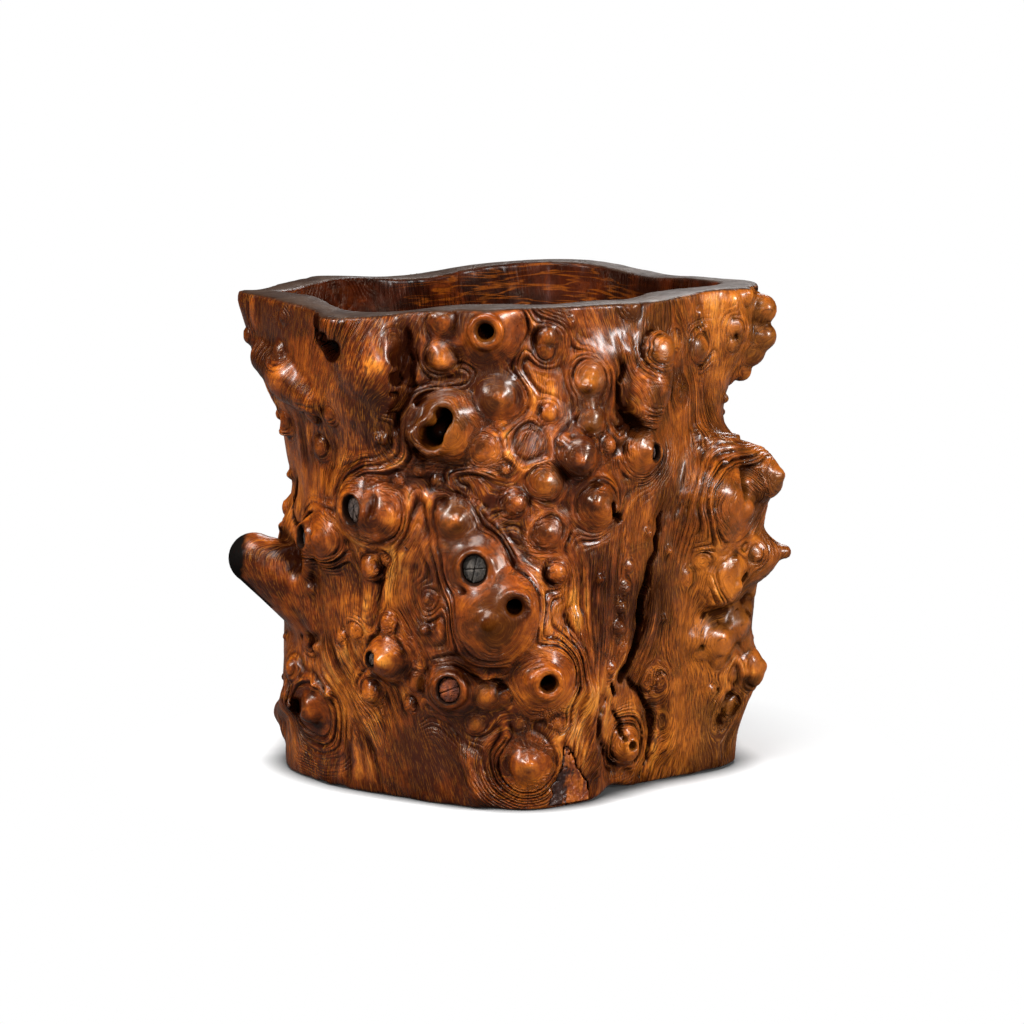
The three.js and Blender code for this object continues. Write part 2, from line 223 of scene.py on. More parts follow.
# The charred stub at the left and the pointed cone at the right: root, end and their radii. The stub is
# black on the far side of an edge through a photo place, which slants away under it
Spur = namedtuple("Spur", "root end root_radius end_radius")
STUB = Spur((300, 602), (254, 558), 14.5, 9.4)
CONE = Spur((745, 555), (784, 552), 11.0, 2.6)
CONE_SIDE = (775, 553)
CHAR_PLACE = (245.5, 557)
CHAR_LEAN = 0.06
CHAR_SLANT = 1.05
CHAR_DROP = 7.0
CHAR_REACH = 21.0

# Where the sawn rim dips: direction in degrees, half width in degrees, and depth in millimetres
RIM_DIPS = [(128, 26, 3.4), (233, 16, 2.4), (318, 14, 0.8), (38, 24, 2.2), (179, 11, 2.4)]

# Where the foot is lifted off the ground: direction, half width in degrees, and height in millimetres
FOOT_LIFTS = [(216, 16, 0.4), (303, 8, 2.5), (345, 14, 0.8), (60, 20, 1.0), (140, 22, 1.3)]


def photo_ray(column, row):
    """The camera's ray through a place in the photograph, in millimetres."""
    focal = CAMERA_LENS / SENSOR * PHOTO_SIZE
    right = Vector((1, 0, 0))
    aim = CAMERA_FORWARD * focal + right * (column - PHOTO_SIZE / 2) - CAMERA_UP * (row - PHOTO_SIZE / 2)
    return np.array(CAMERA_PLACE) / MM, np.array(aim.normalized())


# The trunk: radii of the burl and of its hollow, read off the CAD wall by rays. The rays start outside it, at
# a distance in metres, and the photograph's rays are followed in steps for a reach in millimetres each way
DIRECTIONS = 120
LEVELS = 61
FAR_OUTSIDE = 0.2
RAY_REACH = 150
RAY_STEPS = 601
# The stub and the cone in the table: direction, height, half width in degrees, half height, and how much
# of each may stay
SPUR_SPOTS = [(189, 76, 20, 26, 3.0), (351, 78, 9, 12, 9.0)]
# Where the trunk's outline is drawn in: direction, height, half width in degrees, half height, depth
TRIMS = [(0, 131, 24, 13, 3.8), (356, 164, 12, 10, 3.0), (180, 134, 24, 11, 3.2), (182, 108, 20, 9, 3.0)]
level_heights = np.linspace(1.0, rim_height - 1.0, LEVELS)


def turn_between(turn, direction):
    """The angle from a direction, from -180 to 180 degrees."""
    return (turn - direction + 180) % 360 - 180


def from_axis(x, y):
    return np.hypot(x - axis_x, y - axis_y)


def above_and_below(table):
    """Each value's neighbour above it, and the one below it."""
    return np.concatenate([table[:, 1:], table[:, -1:]], 1), np.concatenate([table[:, :1], table[:, :-1]], 1)


def spread(table, reach, pick):
    """The highest or lowest neighbour of each value, round the pot and up it."""
    for _ in range(reach):
        table = pick.reduce([table, np.roll(table, 1, 0), np.roll(table, -1, 0)])
        table = pick.reduce([table, *above_and_below(table)])
    return table


def soften(table, times):
    for _ in range(times):
        table = (np.roll(table, 1, 0) + 2 * table + np.roll(table, -1, 0)) / 4
        above, below = above_and_below(table)
        table = (above + 2 * table + below) / 4
    return table


def read_trunk():
    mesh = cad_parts["burl_wall"].data
    tree = BVHTree.FromPolygons([v.co for v in mesh.vertices], [p.vertices for p in mesh.polygons])
    outer = np.zeros((DIRECTIONS, LEVELS))
    inner = np.zeros((DIRECTIONS, LEVELS))
    for i in range(DIRECTIONS):
        angle = 2 * math.pi * i / DIRECTIONS
        out = Vector((math.cos(angle), math.sin(angle), 0))
        for j, height in enumerate(level_heights):
            middle = Vector((axis_x, axis_y, height)) * MM
            outer[i, j] = (FAR_OUTSIDE - tree.ray_cast(middle + out * FAR_OUTSIDE, -out)[3]) / MM
            inner[i, j] = tree.ray_cast(middle, out)[3] / MM
    # The first filter closes the knot holes, and the second finds the stub and the cone to take them off
    outer = spread(spread(outer, 3, np.maximum), 3, np.minimum)
    bare = spread(spread(outer, 5, np.minimum), 5, np.maximum)
    turns = 360 * np.arange(DIRECTIONS)[:, None] / DIRECTIONS
    for direction, height, wide, tall, stay in SPUR_SPOTS:
        away = turn_between(turns, direction)
        near = (np.abs(away) < wide) & (np.abs(level_heights - height) < tall)
        outer = np.where(near, np.minimum(outer, bare + stay), outer)
    outer = soften(outer, 3)
    for direction, height, wide, tall, depth in TRIMS:
        away = turn_between(turns, direction)
        outer -= depth * np.exp(-(away / wide) ** 2 - ((level_heights - height) / tall) ** 2)
    return outer, soften(inner, 2)


outer_table, inner_table = read_trunk()


def table_at(table, x, y, z):
    """A table's radius at any places, smoothly between its directions and levels."""
    turn = (np.arctan2(y - axis_y, x - axis_x) / (2 * math.pi)) % 1 * DIRECTIONS
    level = np.clip((z - level_heights[0]) / (level_heights[1] - level_heights[0]), 0, LEVELS - 1.001)
    i = turn.astype(int) % DIRECTIONS
    j = level.astype(int)
    a = turn - turn.astype(int)
    b = level - j
    n = (i + 1) % DIRECTIONS
    low = table[i, j] * (1 - a) + table[n, j] * a
    high = table[i, j + 1] * (1 - a) + table[n, j + 1] * a
    return low * (1 - b) + high * b


def over_surface(points):
    """How far places lie outside the trunk, in millimetres."""
    x, y, z = np.moveaxis(points, -1, 0)
    return from_axis(x, y) - table_at(outer_table, x, y, z)


def way_out(point):
    """The level direction from the pot's axis to a place."""
    out = np.array([point[0] - axis_x, point[1] - axis_y, 0.0])
    return out / np.linalg.norm(out)


def ray_points(place):
    """Places along the photograph's ray, from well before the pot to well behind it, and the ray's way."""
    start, aim = photo_ray(*place)
    pot = CAMERA_DISTANCE / MM
    return start + np.linspace(pot - RAY_REACH, pot + RAY_REACH, RAY_STEPS)[:, None] * aim, aim


def on_burl(place):
    """Where the photograph's ray meets the trunk, or passes nearest to it, and the way out there."""
    points, _ = ray_points(place)
    height = over_surface(points)
    under = np.flatnonzero(height < 0)
    point = points[under[0]] if len(under) else points[np.argmin(height)]
    out = way_out(point)
    if len(under):
        point = point - out * over_surface(point)
    return point, out


def on_wood(field, place):
    """Where the photograph's ray enters the carved wood, and the way it looks."""
    points, aim = ray_points(place)
    under = np.flatnonzero(field.at(points) < 0)
    return (points[under[0]] if len(under) else on_burl(place)[0]), aim


def around_burl(degrees, height):
    """A place on the trunk by its direction and height, and the way out there."""
    angle = math.radians(degrees)
    out = np.array([math.cos(angle), math.sin(angle), 0.0])
    guess = np.array([axis_x, axis_y, height]) + out * 50
    return guess - out * over_surface(guess), out


# The carving field: negative inside the wood, in millimetres
low_corner = wall_low - GRID_MARGIN
grid_count = np.ceil((wall_high + GRID_MARGIN - low_corner) / GRID_STEP).astype(int) + 1
grid_axes = [low_corner[a] + GRID_STEP * np.arange(grid_count[a]) for a in range(3)]


def smooth_join(a, b, blend):
    """The nearer of two distances, rounded where they meet and left alone far from both surfaces."""
    share = np.clip(0.5 + 0.5 * (b - a) / blend, 0, 1)
    near = np.clip(1.6 - np.abs(np.minimum(a, b)) / blend, 0, 1)
    rounded = b * (1 - share) + a * share - blend * share * (1 - share)
    return rounded * near + np.minimum(a, b) * (1 - near)


def smooth_cut(a, tool, blend):
    return -smooth_join(-a, tool, blend)


def away_from(middle, x, y, z):
    """How far places lie from a middle along each axis."""
    return x - middle[0], y - middle[1], z - middle[2]


def along(way, x, y, z):
    """How far places lie along a direction."""
    return x * way[0] + y * way[1] + z * way[2]


class Field:
    """Distances on a grid, joined and cut by shapes that each touch only their own corner of it."""

    def __init__(self, axes):
        self.axes = axes
        self.step = axes[0][1] - axes[0][0]
        self.values = None

    def window(self, low, high):
        spans = []
        for axis, start, end in zip(self.axes, low, high):
            first = max(int((start - axis[0]) / self.step), 0)
            last = min(int((end - axis[0]) / self.step) + 2, len(axis))
            spans.append(slice(first, max(last, first)))
        return tuple(spans)

    def shape(self, low, high, distance, blend, cut=False):
        spans = self.window(low, high)
        x, y, z = np.meshgrid(*[axis[s] for axis, s in zip(self.axes, spans)], indexing="ij", sparse=True)
        part = self.values[spans]
        if part.size:
            tool = distance(x, y, z)
            self.values[spans] = smooth_cut(part, tool, blend) if cut else smooth_join(part, tool, blend)

    def ball(self, middle, radius, blend):
        reach = radius + blend + 2

        def distance(x, y, z):
            dx, dy, dz = away_from(middle, x, y, z)
            return np.sqrt(dx ** 2 + dy ** 2 + dz ** 2) - radius

        self.shape(middle - reach, middle + reach, distance, blend)

    def rod(self, start, end, start_radius, end_radius, blend, cut=False):
        reach = max(start_radius, end_radius) + blend + 2
        run = end - start
        length = float(run @ run) + 1e-9

        def distance(x, y, z):
            offset = away_from(start, x, y, z)
            share = np.clip(along(run, *offset) / length, 0, 1)
            dx, dy, dz = (part - share * way for part, way in zip(offset, run))
            return np.sqrt(dx ** 2 + dy ** 2 + dz ** 2) - (start_radius + (end_radius - start_radius) * share)

        self.shape(np.minimum(start, end) - reach, np.maximum(start, end) + reach, distance, blend, cut)

    def ring(self, middle, out, radius, thickness, blend, cut=False):
        reach = radius + thickness + blend + 2

        def distance(x, y, z):
            dx, dy, dz = away_from(middle, x, y, z)
            height = along(out, dx, dy, dz)
            wide = np.sqrt(np.maximum(dx ** 2 + dy ** 2 + dz ** 2 - height ** 2, 0))
            return np.sqrt((wide - radius) ** 2 + height ** 2) - thickness

        self.shape(middle - reach, middle + reach, distance, blend, cut)

    def groove(self, spots, outs, widths, below, above, blend):
        """Cuts a sheet along a line of places, from one height over them down to a depth under them."""
        reach = max(widths) + max(below, above) + blend + 2

        def distance(x, y, z):
            nearest = None
            for a, b, out, start, end in zip(spots, spots[1:], outs, widths, widths[1:]):
                run = b - a
                offset = away_from(a, x, y, z)
                share = np.clip(along(run, *offset) / float(run @ run), 0, 1)
                dx, dy, dz = (part - share * way for part, way in zip(offset, run))
                height = along(out, dx, dy, dz)
                past = height - np.clip(height, -below, above)
                side = np.sqrt(np.maximum(dx ** 2 + dy ** 2 + dz ** 2 - height ** 2, 0) + past ** 2)
                narrow = 1 - 0.5 * np.clip(-height / (below + 0.01), 0, 1)
                gap = side - (start + (end - start) * share) * narrow
                nearest = gap if nearest is None else np.minimum(nearest, gap)
            return nearest

        self.shape(np.min(spots, 0) - reach, np.max(spots, 0) + reach, distance, blend, cut=True)

    def at(self, points):
        """The field's values at any places, smoothly between its corners."""
        spots = [np.clip((points[:, a] - axis[0]) / self.step, 0, len(axis) - 1.001)
                 for a, axis in enumerate(self.axes)]
        base = [s.astype(int) for s in spots]
        share = [s - b for s, b in zip(spots, base)]
        total = np.zeros(len(points))
        for bits in CORNERS:
            weight = np.prod([share[a] if bits[a] else 1 - share[a] for a in range(3)], axis=0)
            total += weight * self.values[tuple(base[a] + bits[a] for a in range(3))]
        return total


WAVES = 5


def wavy(x, y, z, length, seed):
    """A slow roll over space, from a few crossed waves."""
    waves = np.random.default_rng(seed)
    total = 0.0
    for _ in range(WAVES):
        way = waves.normal(size=3)
        way *= 2 * math.pi / (length * np.linalg.norm(way))
        total = total + np.sin(along(way, x, y, z) + waves.uniform(0, 6.3))
    return total / WAVES


def humps(x, y, places):
    """The sum of humps at directions round the pot."""
    turn = np.degrees(np.arctan2(y - axis_y, x - axis_x)) % 360
    return sum(height * np.exp(-(turn_between(turn, direction) / width) ** 2)
               for direction, width, height in places)


def rim_level(x, y):
    """The sawn rim's height, with its dips."""
    return rim_height - humps(x, y, RIM_DIPS)


def trunk_field():
    field = Field(grid_axes)
    x, y = np.meshgrid(grid_axes[0], grid_axes[1], indexing="ij")
    field.values = np.empty(grid_count, np.float32)
    for k, height in enumerate(grid_axes[2]):
        z = np.full_like(x, height)
        roll = 1.5 * wavy(x, y, z, 34, 3) + 0.7 * wavy(x, y, z, 15, 5)
        field.values[:, :, k] = from_axis(x, y) - table_at(outer_table, x, y, z) + roll
    return field


# Where the grain parts: middle, way out, radius, how strong the rings and the amber are there, and whether
# folds wrap the place, with 2 where they surely do
Placed = namedtuple("Placed", "middle out radius rings tint wrapped")
placed = []


def side_ways(out):
    """The two directions along the surface: level, and up it."""
    level = np.array([-out[1], out[0], 0.0])
    return level, np.cross(out, level)


def add_knob(field, middle, out, radius, rise, tint):
    """An uneven dome that grows out of the burl, with a shallow moat that bites in on one side of it."""
    clear = over_surface(middle)
    if clear > 0.5:
        root, tip = middle - out * (clear + radius), middle - out * clear * 0.4
        field.rod(root, tip, radius * 1.3, radius * 0.85, 2.6)
        field.ball(middle, radius, 2.4)
        placed.append(Placed(middle, out, radius, 1.0, tint, True))
        return
    rise = min(rise, radius * 0.9)
    ball = (radius ** 2 + rise ** 2) / (2 * rise)
    level, up = side_ways(out)
    turn = rng.uniform(0, 2 * math.pi)
    lean = level * math.cos(turn) + up * math.sin(turn)
    across = level * -math.sin(turn) + up * math.cos(turn)
    bite = rng.uniform(0.1, 0.3) * radius
    tilt = out + 0.35 * lean
    tilt /= np.linalg.norm(tilt)
    groove = 0.3 + 0.05 * radius
    field.ring(middle + out * 0.7 + lean * bite, tilt, radius * 1.08, groove, 2.4, cut=True)
    stretch = up * radius * rng.uniform(0.08, 0.3)
    seat = middle - out * (ball - rise)
    field.rod(seat - stretch, seat + stretch, ball * 0.97, ball * 0.93, 1.6 + 0.24 * radius)
    if radius > 3.5:
        second = radius * rng.uniform(0.55, 0.72)
        spot = middle + out * (rise * 0.95 - second) + lean * radius * 0.34
        spot += across * radius * rng.uniform(-0.2, 0.2)
        field.ball(spot, second, 1.0 + 0.12 * radius)
    if radius > 5:
        small = radius * rng.uniform(0.26, 0.38)
        tip = middle + out * (rise - small * 0.5) - lean * radius * rng.uniform(0.1, 0.35)
        field.ball(tip, small, 0.8 + 0.1 * radius)
    placed.append(Placed(middle + out * rise * 0.5, out, radius, 1.0, tint, True))


def open_mouth(field, middle, out, rise, mouth):
    """A rolled lip and a hole that runs into the wood."""
    top = middle + out * (rise - 0.3)
    field.ring(top, out, mouth * 1.5, mouth * 0.45, 1.4)
    field.rod(top + out * 8, top - out * HOLE_DEPTH, mouth * 1.05, mouth * 0.7, 0.8, cut=True)


def carve_front(field):
    for knob in FRONT_KNOBS:
        middle, out = on_burl((knob.column, knob.row))
        tint = (0.1 + 0.6 * ((knob.column * 7 + knob.row) % 10) / 10) * (0.5 if knob.column < 440 else 1.0)
        add_knob(field, middle, out, knob.radius, knob.rise, tint * (0.5 if knob.radius > 9 else 1.0))
        if knob.mouth:
            open_mouth(field, middle, out, knob.rise, knob.mouth)
    carve_kidney(field)
    for place, radius in BEADS:
        middle, out = on_burl(place)
        field.ball(middle - out * 0.3, radius, 1.6)
        placed.append(Placed(middle, out, radius, 0.5, 0.4, True))


def carve_kidney(field):
    """The largest mouth: a smooth oval pad with a moat round it, and holes in it that run together."""
    middle, out = on_burl(KIDNEY.place)
    level, up = side_ways(out)
    ball = (KIDNEY.wide ** 2 + KIDNEY.rise ** 2) / (2 * KIDNEY.rise)
    seat = middle - out * (ball - KIDNEY.rise)
    field.ring(middle + out * 0.6, out, KIDNEY.wide + 2.6, 0.9, 2.0, cut=True)
    field.rod(seat - up * KIDNEY.stretch, seat + up * KIDNEY.stretch, ball, ball, 1.2)
    top = middle + out * KIDNEY.rise
    for place, mouth in KIDNEY.holes:
        spot, _ = on_burl(place)
        field.ring(spot + out * (KIDNEY.rise - 1.1), out, mouth + 1.2, 1.4, 2.2)
    for place, mouth in KIDNEY.holes:
        spot, _ = on_burl(place)
        field.rod(spot + out * 12, spot - out * 9.0, mouth, mouth * 0.85, 1.0, cut=True)
        field.rod(spot + out * 12, top + (spot - middle) - out * 0.6, mouth * 1.3, mouth * 0.9, 1.6, cut=True)
    placed.append(Placed(middle + out * 2, out, KIDNEY.wide + 1.5, 1.0, 0.9, True))


def carve_limbs(field):
    for limb in LIMBS:
        spots = [on_burl(place) for place in limb.places]
        spots = [middle - out * limb.sink for middle, out in spots]
        for a, b, ra, rb in zip(spots, spots[1:], limb.radii, limb.radii[1:]):
            field.rod(a, b, ra, rb, 2.4)


def wander(places):
    """Photo places with two more between each pair, all a little out of line."""
    path = [np.array(places[0], float)]
    for a, b in zip(places, places[1:]):
        a, b = np.array(a, float), np.array(b, float)
        for share in (0.33, 0.67):
            path.append(a + (b - a) * share + rng.normal(0, 0.045, 2) * np.linalg.norm(b - a))
        path.append(b)
    return path


def carve_creases(field):
    for crease in CREASES:
        spots, outs = zip(*[on_burl(place) for place in wander(crease.places)])
        if crease.valley:
            lifted = [middle + out * crease.valley * 0.45 for middle, out in zip(spots, outs)]
            field.groove(lifted, outs, [crease.valley] * len(spots), 0.0, CREASE_START, 4.0)
        widths = crease.width * rng.uniform(0.65, 1.25, len(spots))
        widths[[0, -1]] *= 0.5
        field.groove(spots, outs, widths, crease.depth, CREASE_START, 1.2)


def carve_mouths(field):
    spots = [on_wood(field, mouth.place) for mouth in MOUTHS]
    for mouth, (spot, aim) in zip(MOUTHS, spots):
        for share in (-1.0, -0.33, 0.33, 1.0):
            middle = spot + np.array([0, 0, share * mouth.stretch])
            front, back = middle - aim * 6, middle + aim * mouth.depth
            field.rod(front, back, mouth.radius * 1.1, mouth.radius * 0.8, 0.8, cut=True)


def at_depth_of(place, point):
    """Where the photograph's ray passes a place's depth from the camera."""
    start, aim = photo_ray(*place)
    return start + aim * ((point[1] - start[1]) / aim[1])


def carve_spurs(field):
    root, out = on_burl(STUB.root)
    end = at_depth_of(STUB.end, root - out * 6)
    field.rod(root - out * 8, end, STUB.root_radius, STUB.end_radius, 5.0)
    side, away = on_burl(CONE_SIDE)
    root = at_depth_of(CONE.root, side)
    field.rod(root - away * 10, root, CONE.root_radius * 1.2, CONE.root_radius, 4.0)
    field.rod(root, at_depth_of(CONE.end, side), CONE.root_radius, CONE.end_radius, 3.0)
    return at_depth_of(CHAR_PLACE, end)


BACK_KNOBS = 66
BACK_TRIES = 6000
BACK_SIDES = (14, 164)
BACK_RADII = {3.2: 0.2, 4.2: 0.22, 5.4: 0.2, 7.0: 0.16, 9.0: 0.13, 12.0: 0.09}
BACK_MOUTH = 3.2
EDGE_CLEAR = 8


def scatter_back(field):
    """Knobs of the front's sizes on the sides and the back, none closer than they are big."""
    spots = []
    tries = 0
    while len(spots) < BACK_KNOBS and tries < BACK_TRIES:
        tries += 1
        degrees = rng.uniform(*BACK_SIDES)
        height = rng.uniform(EDGE_CLEAR, rim_height - EDGE_CLEAR)
        radius = rng.choice(list(BACK_RADII), p=list(BACK_RADII.values()))
        middle, out = around_burl(degrees, height)
        if all(np.linalg.norm(middle - m) > 0.9 * (radius + r) + 1 for m, r in spots):
            spots.append((middle, radius))
            rise = radius * rng.uniform(0.45, 0.7)
            add_knob(field, middle, out, radius, rise, rng.uniform(0.2, 0.9))
            if radius > 8 and rng.random() < 0.4:
                open_mouth(field, middle, out, rise, BACK_MOUTH)


def scatter_eyes(count):
    """Places where the grain swirls though nothing stands out."""
    for _ in range(count):
        middle, out = around_burl(rng.uniform(0, 360), rng.uniform(6, rim_height - 6))
        size = rng.uniform(3.5, 8.0)
        clear = all(np.linalg.norm(middle - knob.middle) > 0.8 * (size + knob.radius) for knob in placed)
        if clear and all(np.linalg.norm(middle - spot) > wide for spot, wide in plain_spots):
            placed.append(Placed(middle, out, size, rng.uniform(0.1, 0.35), rng.uniform(0.0, 0.4), False))


def scatter_warts(field, count, start, end, largest):
    for _ in range(count):
        middle, out = around_burl(rng.uniform(start, end), rng.uniform(4, rim_height - 4))
        radius = rng.uniform(1.3, largest)
        over = field.at(middle[None])[0]
        spot = middle - out * (over - radius * 0.4)
        if abs(over) < 9:
            field.ball(spot, radius * 0.9, 2.2)


def hollow_out(field):
    """The hollow, the rebate for the board and the sawn rim and foot."""
    x, y = np.meshgrid(grid_axes[0], grid_axes[1], indexing="ij")
    reach = from_axis(x, y)
    level = rim_level(x, y) + 0.25 * wavy(x, y, 0, 22, 11)
    outside = table_at(outer_table, x, y, np.zeros_like(x) + 4)
    edge = np.clip(1 - (outside - reach) / 9, 0, 1)
    lift = (humps(x, y, FOOT_LIFTS) + 0.5 * wavy(x, y, 0, 9, 13)) * edge
    rebate_top = board_high[2] + seat_gap
    for k, height in enumerate(grid_axes[2]):
        z = np.full_like(x, height)
        layer = field.values[:, :, k]
        roll = 0.9 * wavy(x, y, z, 30, 21) + 0.5 * wavy(x, y, z, 12, 23)
        roll *= min(max((height - 14) / 20, 0), 1)
        inner = table_at(inner_table, x, y, np.maximum(z, rebate_top + 1)) + roll
        layer = smooth_cut(layer, reach - inner, 1.0)
        if height < rebate_top:
            layer = np.maximum(layer, board_radius + seat_gap - reach)
        layer = smooth_cut(layer, level - height, 1.4) if height > rim_height - 12 else layer
        layer = smooth_cut(layer, height - lift, 1.2) if height < 8 else layer
        field.values[:, :, k] = np.maximum(layer, -height)


def core_place(knob):
    """The middle of a dead knot's mouth on the trunk, and the way out there."""
    core = sum(in_millimetres(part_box(knob.node))) / 2
    out = way_out(core)
    return core - out * over_surface(core), out


def core_shape(knob, grow):
    """How far places lie outside a dead knot: an oval plug whose outer end is a low dome."""
    middle, out = core_place(knob)
    level, up = side_ways(out)
    end = knob.rise - knob.sunk
    turned = math.radians(knob.turn)

    def distance(x, y, z):
        gap = away_from(middle, x, y, z)
        across, tall, deep = (along(way, *gap) for way in (level, up, out))
        wide = across * math.cos(turned) + tall * math.sin(turned)
        high = tall * math.cos(turned) - across * math.sin(turned)
        oval = np.sqrt((wide / knob.wide) ** 2 + (high / knob.high) ** 2)
        side = (oval - 1) * min(knob.wide, knob.high) - grow
        cap = deep - end + 0.9 * oval ** 2 - grow
        return np.maximum(np.maximum(side, cap), -CORE_LENGTH - grow - deep)

    return middle, out, distance


def carve_sockets(field):
    for knob in CORE_KNOBS:
        middle, out, distance = core_shape(knob, SOCKET_GAP)
        add_knob(field, middle, out, knob.radius, knob.rise, SOCKET_TINT)
        level, up = side_ways(out)
        mouth = (knob.wide + knob.high) / 2
        lip = middle + out * (knob.rise - 0.6)
        field.ring(lip - out * 0.5, out, mouth * 1.3, 0.8 + mouth * 0.14, 1.8)
        stretch = up * (knob.high - knob.wide)
        for deep in np.linspace(0, 1, 4):
            spot = lip + out * 6 * deep
            field.rod(spot - stretch, spot + stretch, knob.wide * 1.02, knob.wide * 1.02, 0.8, cut=True)
        reach = CORE_LENGTH + 8
        field.shape(middle - reach, middle + reach, distance, 0.4, cut=True)


# The wedge's place, from its node
wedge_low, wedge_high = in_millimetres(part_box("foot_wedge"))
WEDGE_APEX = 0.43
WEDGE_GAP = 0.15
WEDGE_STEP = 0.4
WEDGE_DARK = 0.42
WEDGE_PITS = 70
WEDGE_TRIANGLES = 24000
CORE_STEP = 0.3
CORE_TRIANGLES = 6000


def wedge_prism(x, y, z, grow):
    """How far places lie outside the wedge's three-cornered outline, seen from the front."""
    apex = wedge_low[0] + WEDGE_APEX * (wedge_high[0] - wedge_low[0])
    tall = wedge_high[2] - wedge_low[2]
    wave = 0.7 * np.sin(z * 0.55) + 0.4 * np.sin(z * 1.3 + 1)
    left = (wedge_low[0] + (apex - wedge_low[0]) * (z - wedge_low[2]) / tall) - x + wave
    right = x - (wedge_high[0] + (apex - wedge_high[0]) * (z - wedge_low[2]) / tall) + 0.5 * wave
    sides = np.maximum(left, right) - grow
    return np.maximum(np.maximum(sides, y - wedge_high[1] - grow), wedge_low[2] - grow - z)


def carve_wedge(field):
    reach = np.array([3.0, 12.0, 3.0])
    field.shape(wedge_low - reach, wedge_high + reach,
                lambda x, y, z: wedge_prism(x, y, z, WEDGE_GAP), 0.3, cut=True)


# Warts scattered at random: how many, from and to which direction, and the largest radius
WARTS = [(90, 18, 162, 3.4), (26, 205, 335, 2.4), (16, 162, 205, 1.8), (16, -25, 18, 1.8)]
GRAIN_EYES = 26
CHAR_PLAIN = 17.0

burl_field = trunk_field()
carve_limbs(burl_field)
char_middle = carve_spurs(burl_field)
plain_spots = [(on_burl(place)[0], size) for place, size in PLAIN_PARTS] + [(char_middle, CHAR_PLAIN)]
carve_front(burl_field)
carve_sockets(burl_field)
scatter_back(burl_field)
for warts in WARTS:
    scatter_warts(burl_field, *warts)
scatter_eyes(GRAIN_EYES)
for place, size in FOLD_EYES:
    eye, eye_out = on_burl(place)
    placed.append(Placed(eye, eye_out, size, 0.3, 0.0, 2))
carve_creases(burl_field)
carve_mouths(burl_field)
blank_corner = Field(grid_axes)
blank_corner.values = burl_field.values.copy()
hollow_out(burl_field)
carve_wedge(burl_field)


def surface_net(field):
    """The field's zero surface as points and four-cornered faces that point outwards."""
    values = field.values
    inside = values < 0
    count = np.zeros([n - 1 for n in values.shape], np.int8)
    for bits in CORNERS:
        count += inside[tuple(slice(b, b + n - 1) for b, n in zip(bits, values.shape))]
    cells = np.argwhere((count > 0) & (count < 8))
    index = np.full(count.shape, -1, np.int32)
    index[tuple(cells.T)] = np.arange(len(cells))
    total = np.zeros((len(cells), 3))
    hits = np.zeros(len(cells))
    for axis in range(3):
        step = np.eye(3, dtype=int)[axis]
        sides = [np.eye(3, dtype=int)[(axis + turn) % 3] for turn in (1, 2)]
        for near in range(4):
            offset = sides[0] * (near & 1) + sides[1] * (near >> 1)
            a = values[tuple((cells + offset).T)]
            b = values[tuple((cells + offset + step).T)]
            crossed = (a < 0) != (b < 0)
            share = a[crossed] / (a[crossed] - b[crossed])
            total[crossed] += offset + share[:, None] * step
            hits[crossed] += 1
    points = (cells + total / hits[:, None]) * field.step + [axis[0] for axis in field.axes]
    faces = []
    for axis in range(3):
        near = tuple(slice(0, -1) if a == axis else slice(1, -1) for a in range(3))
        far = tuple(slice(1, None) if a == axis else slice(1, -1) for a in range(3))
        start = inside[near]
        edges = np.argwhere(start != inside[far])
        edges += [0 if a == axis else 1 for a in range(3)]
        b, c = (np.eye(3, dtype=int)[(axis + turn) % 3] for turn in (1, 2))
        quad = np.stack([index[tuple((edges - way).T)] for way in (0 * b, b, b + c, c)], 1)
        backward = ~inside[tuple(edges.T)]
        quad[backward] = quad[backward][:, ::-1]
        faces.append(quad)
    return points, np.concatenate(faces)


def main_body(points, faces):
    """The largest surface alone, without crumbs that hang in the air or gaps closed inside the wood."""
    label = np.arange(len(points))
    while True:
        lowest = label[faces].min(1)
        joined = label.copy()
        for corner in faces.T:
            np.minimum.at(joined, corner, lowest)
        joined = joined[joined]
        if np.array_equal(joined, label):
            break
        label = joined
    names, counts = np.unique(label, return_counts=True)
    keep = label == names[np.argmax(counts)]
    number = np.cumsum(keep) - 1
    return points[keep], number[faces[keep[faces[:, 0]]]]


def mesh_object(name, points, faces):
    """An object in metres from points in millimetres."""
    mesh = bpy.data.meshes.new(name)
    mesh.vertices.add(len(points))
    mesh.vertices.foreach_set("co", (points * MM).astype(np.float32).ravel())
    mesh.loops.add(faces.size)
    mesh.loops.foreach_set("vertex_index", faces.astype(np.int32).ravel())
    mesh.polygons.add(len(faces))
    mesh.polygons.foreach_set("loop_start", np.arange(0, faces.size, faces.shape[1], dtype=np.int32))
    mesh.update(calc_edges=True)
    mesh.validate()
    thing = bpy.data.objects.new(name, mesh)
    bpy.context.scene.collection.objects.link(thing)
    return thing


def plain_mesh(thing):
    """Turns what the modifiers make into the object's own mesh."""
    graph = bpy.context.evaluated_depsgraph_get()
    made = bpy.data.meshes.new_from_object(thing.evaluated_get(graph))
    thing.modifiers.clear()
    thing.data = made


def thin_out(thing, triangles):
    have = sum(len(face.vertices) - 2 for face in thing.data.polygons)
    if have > triangles:
        thinner = thing.modifiers.new("thin", "DECIMATE")
        thinner.ratio = triangles / have
        plain_mesh(thing)


def vectors_of(mesh, name):
    """The places or the normals of a mesh's points."""
    values = np.empty(len(mesh.vertices) * 3, np.float32)
    mesh.vertices.foreach_get(name, values)
    return values.reshape(-1, 3).astype(float)


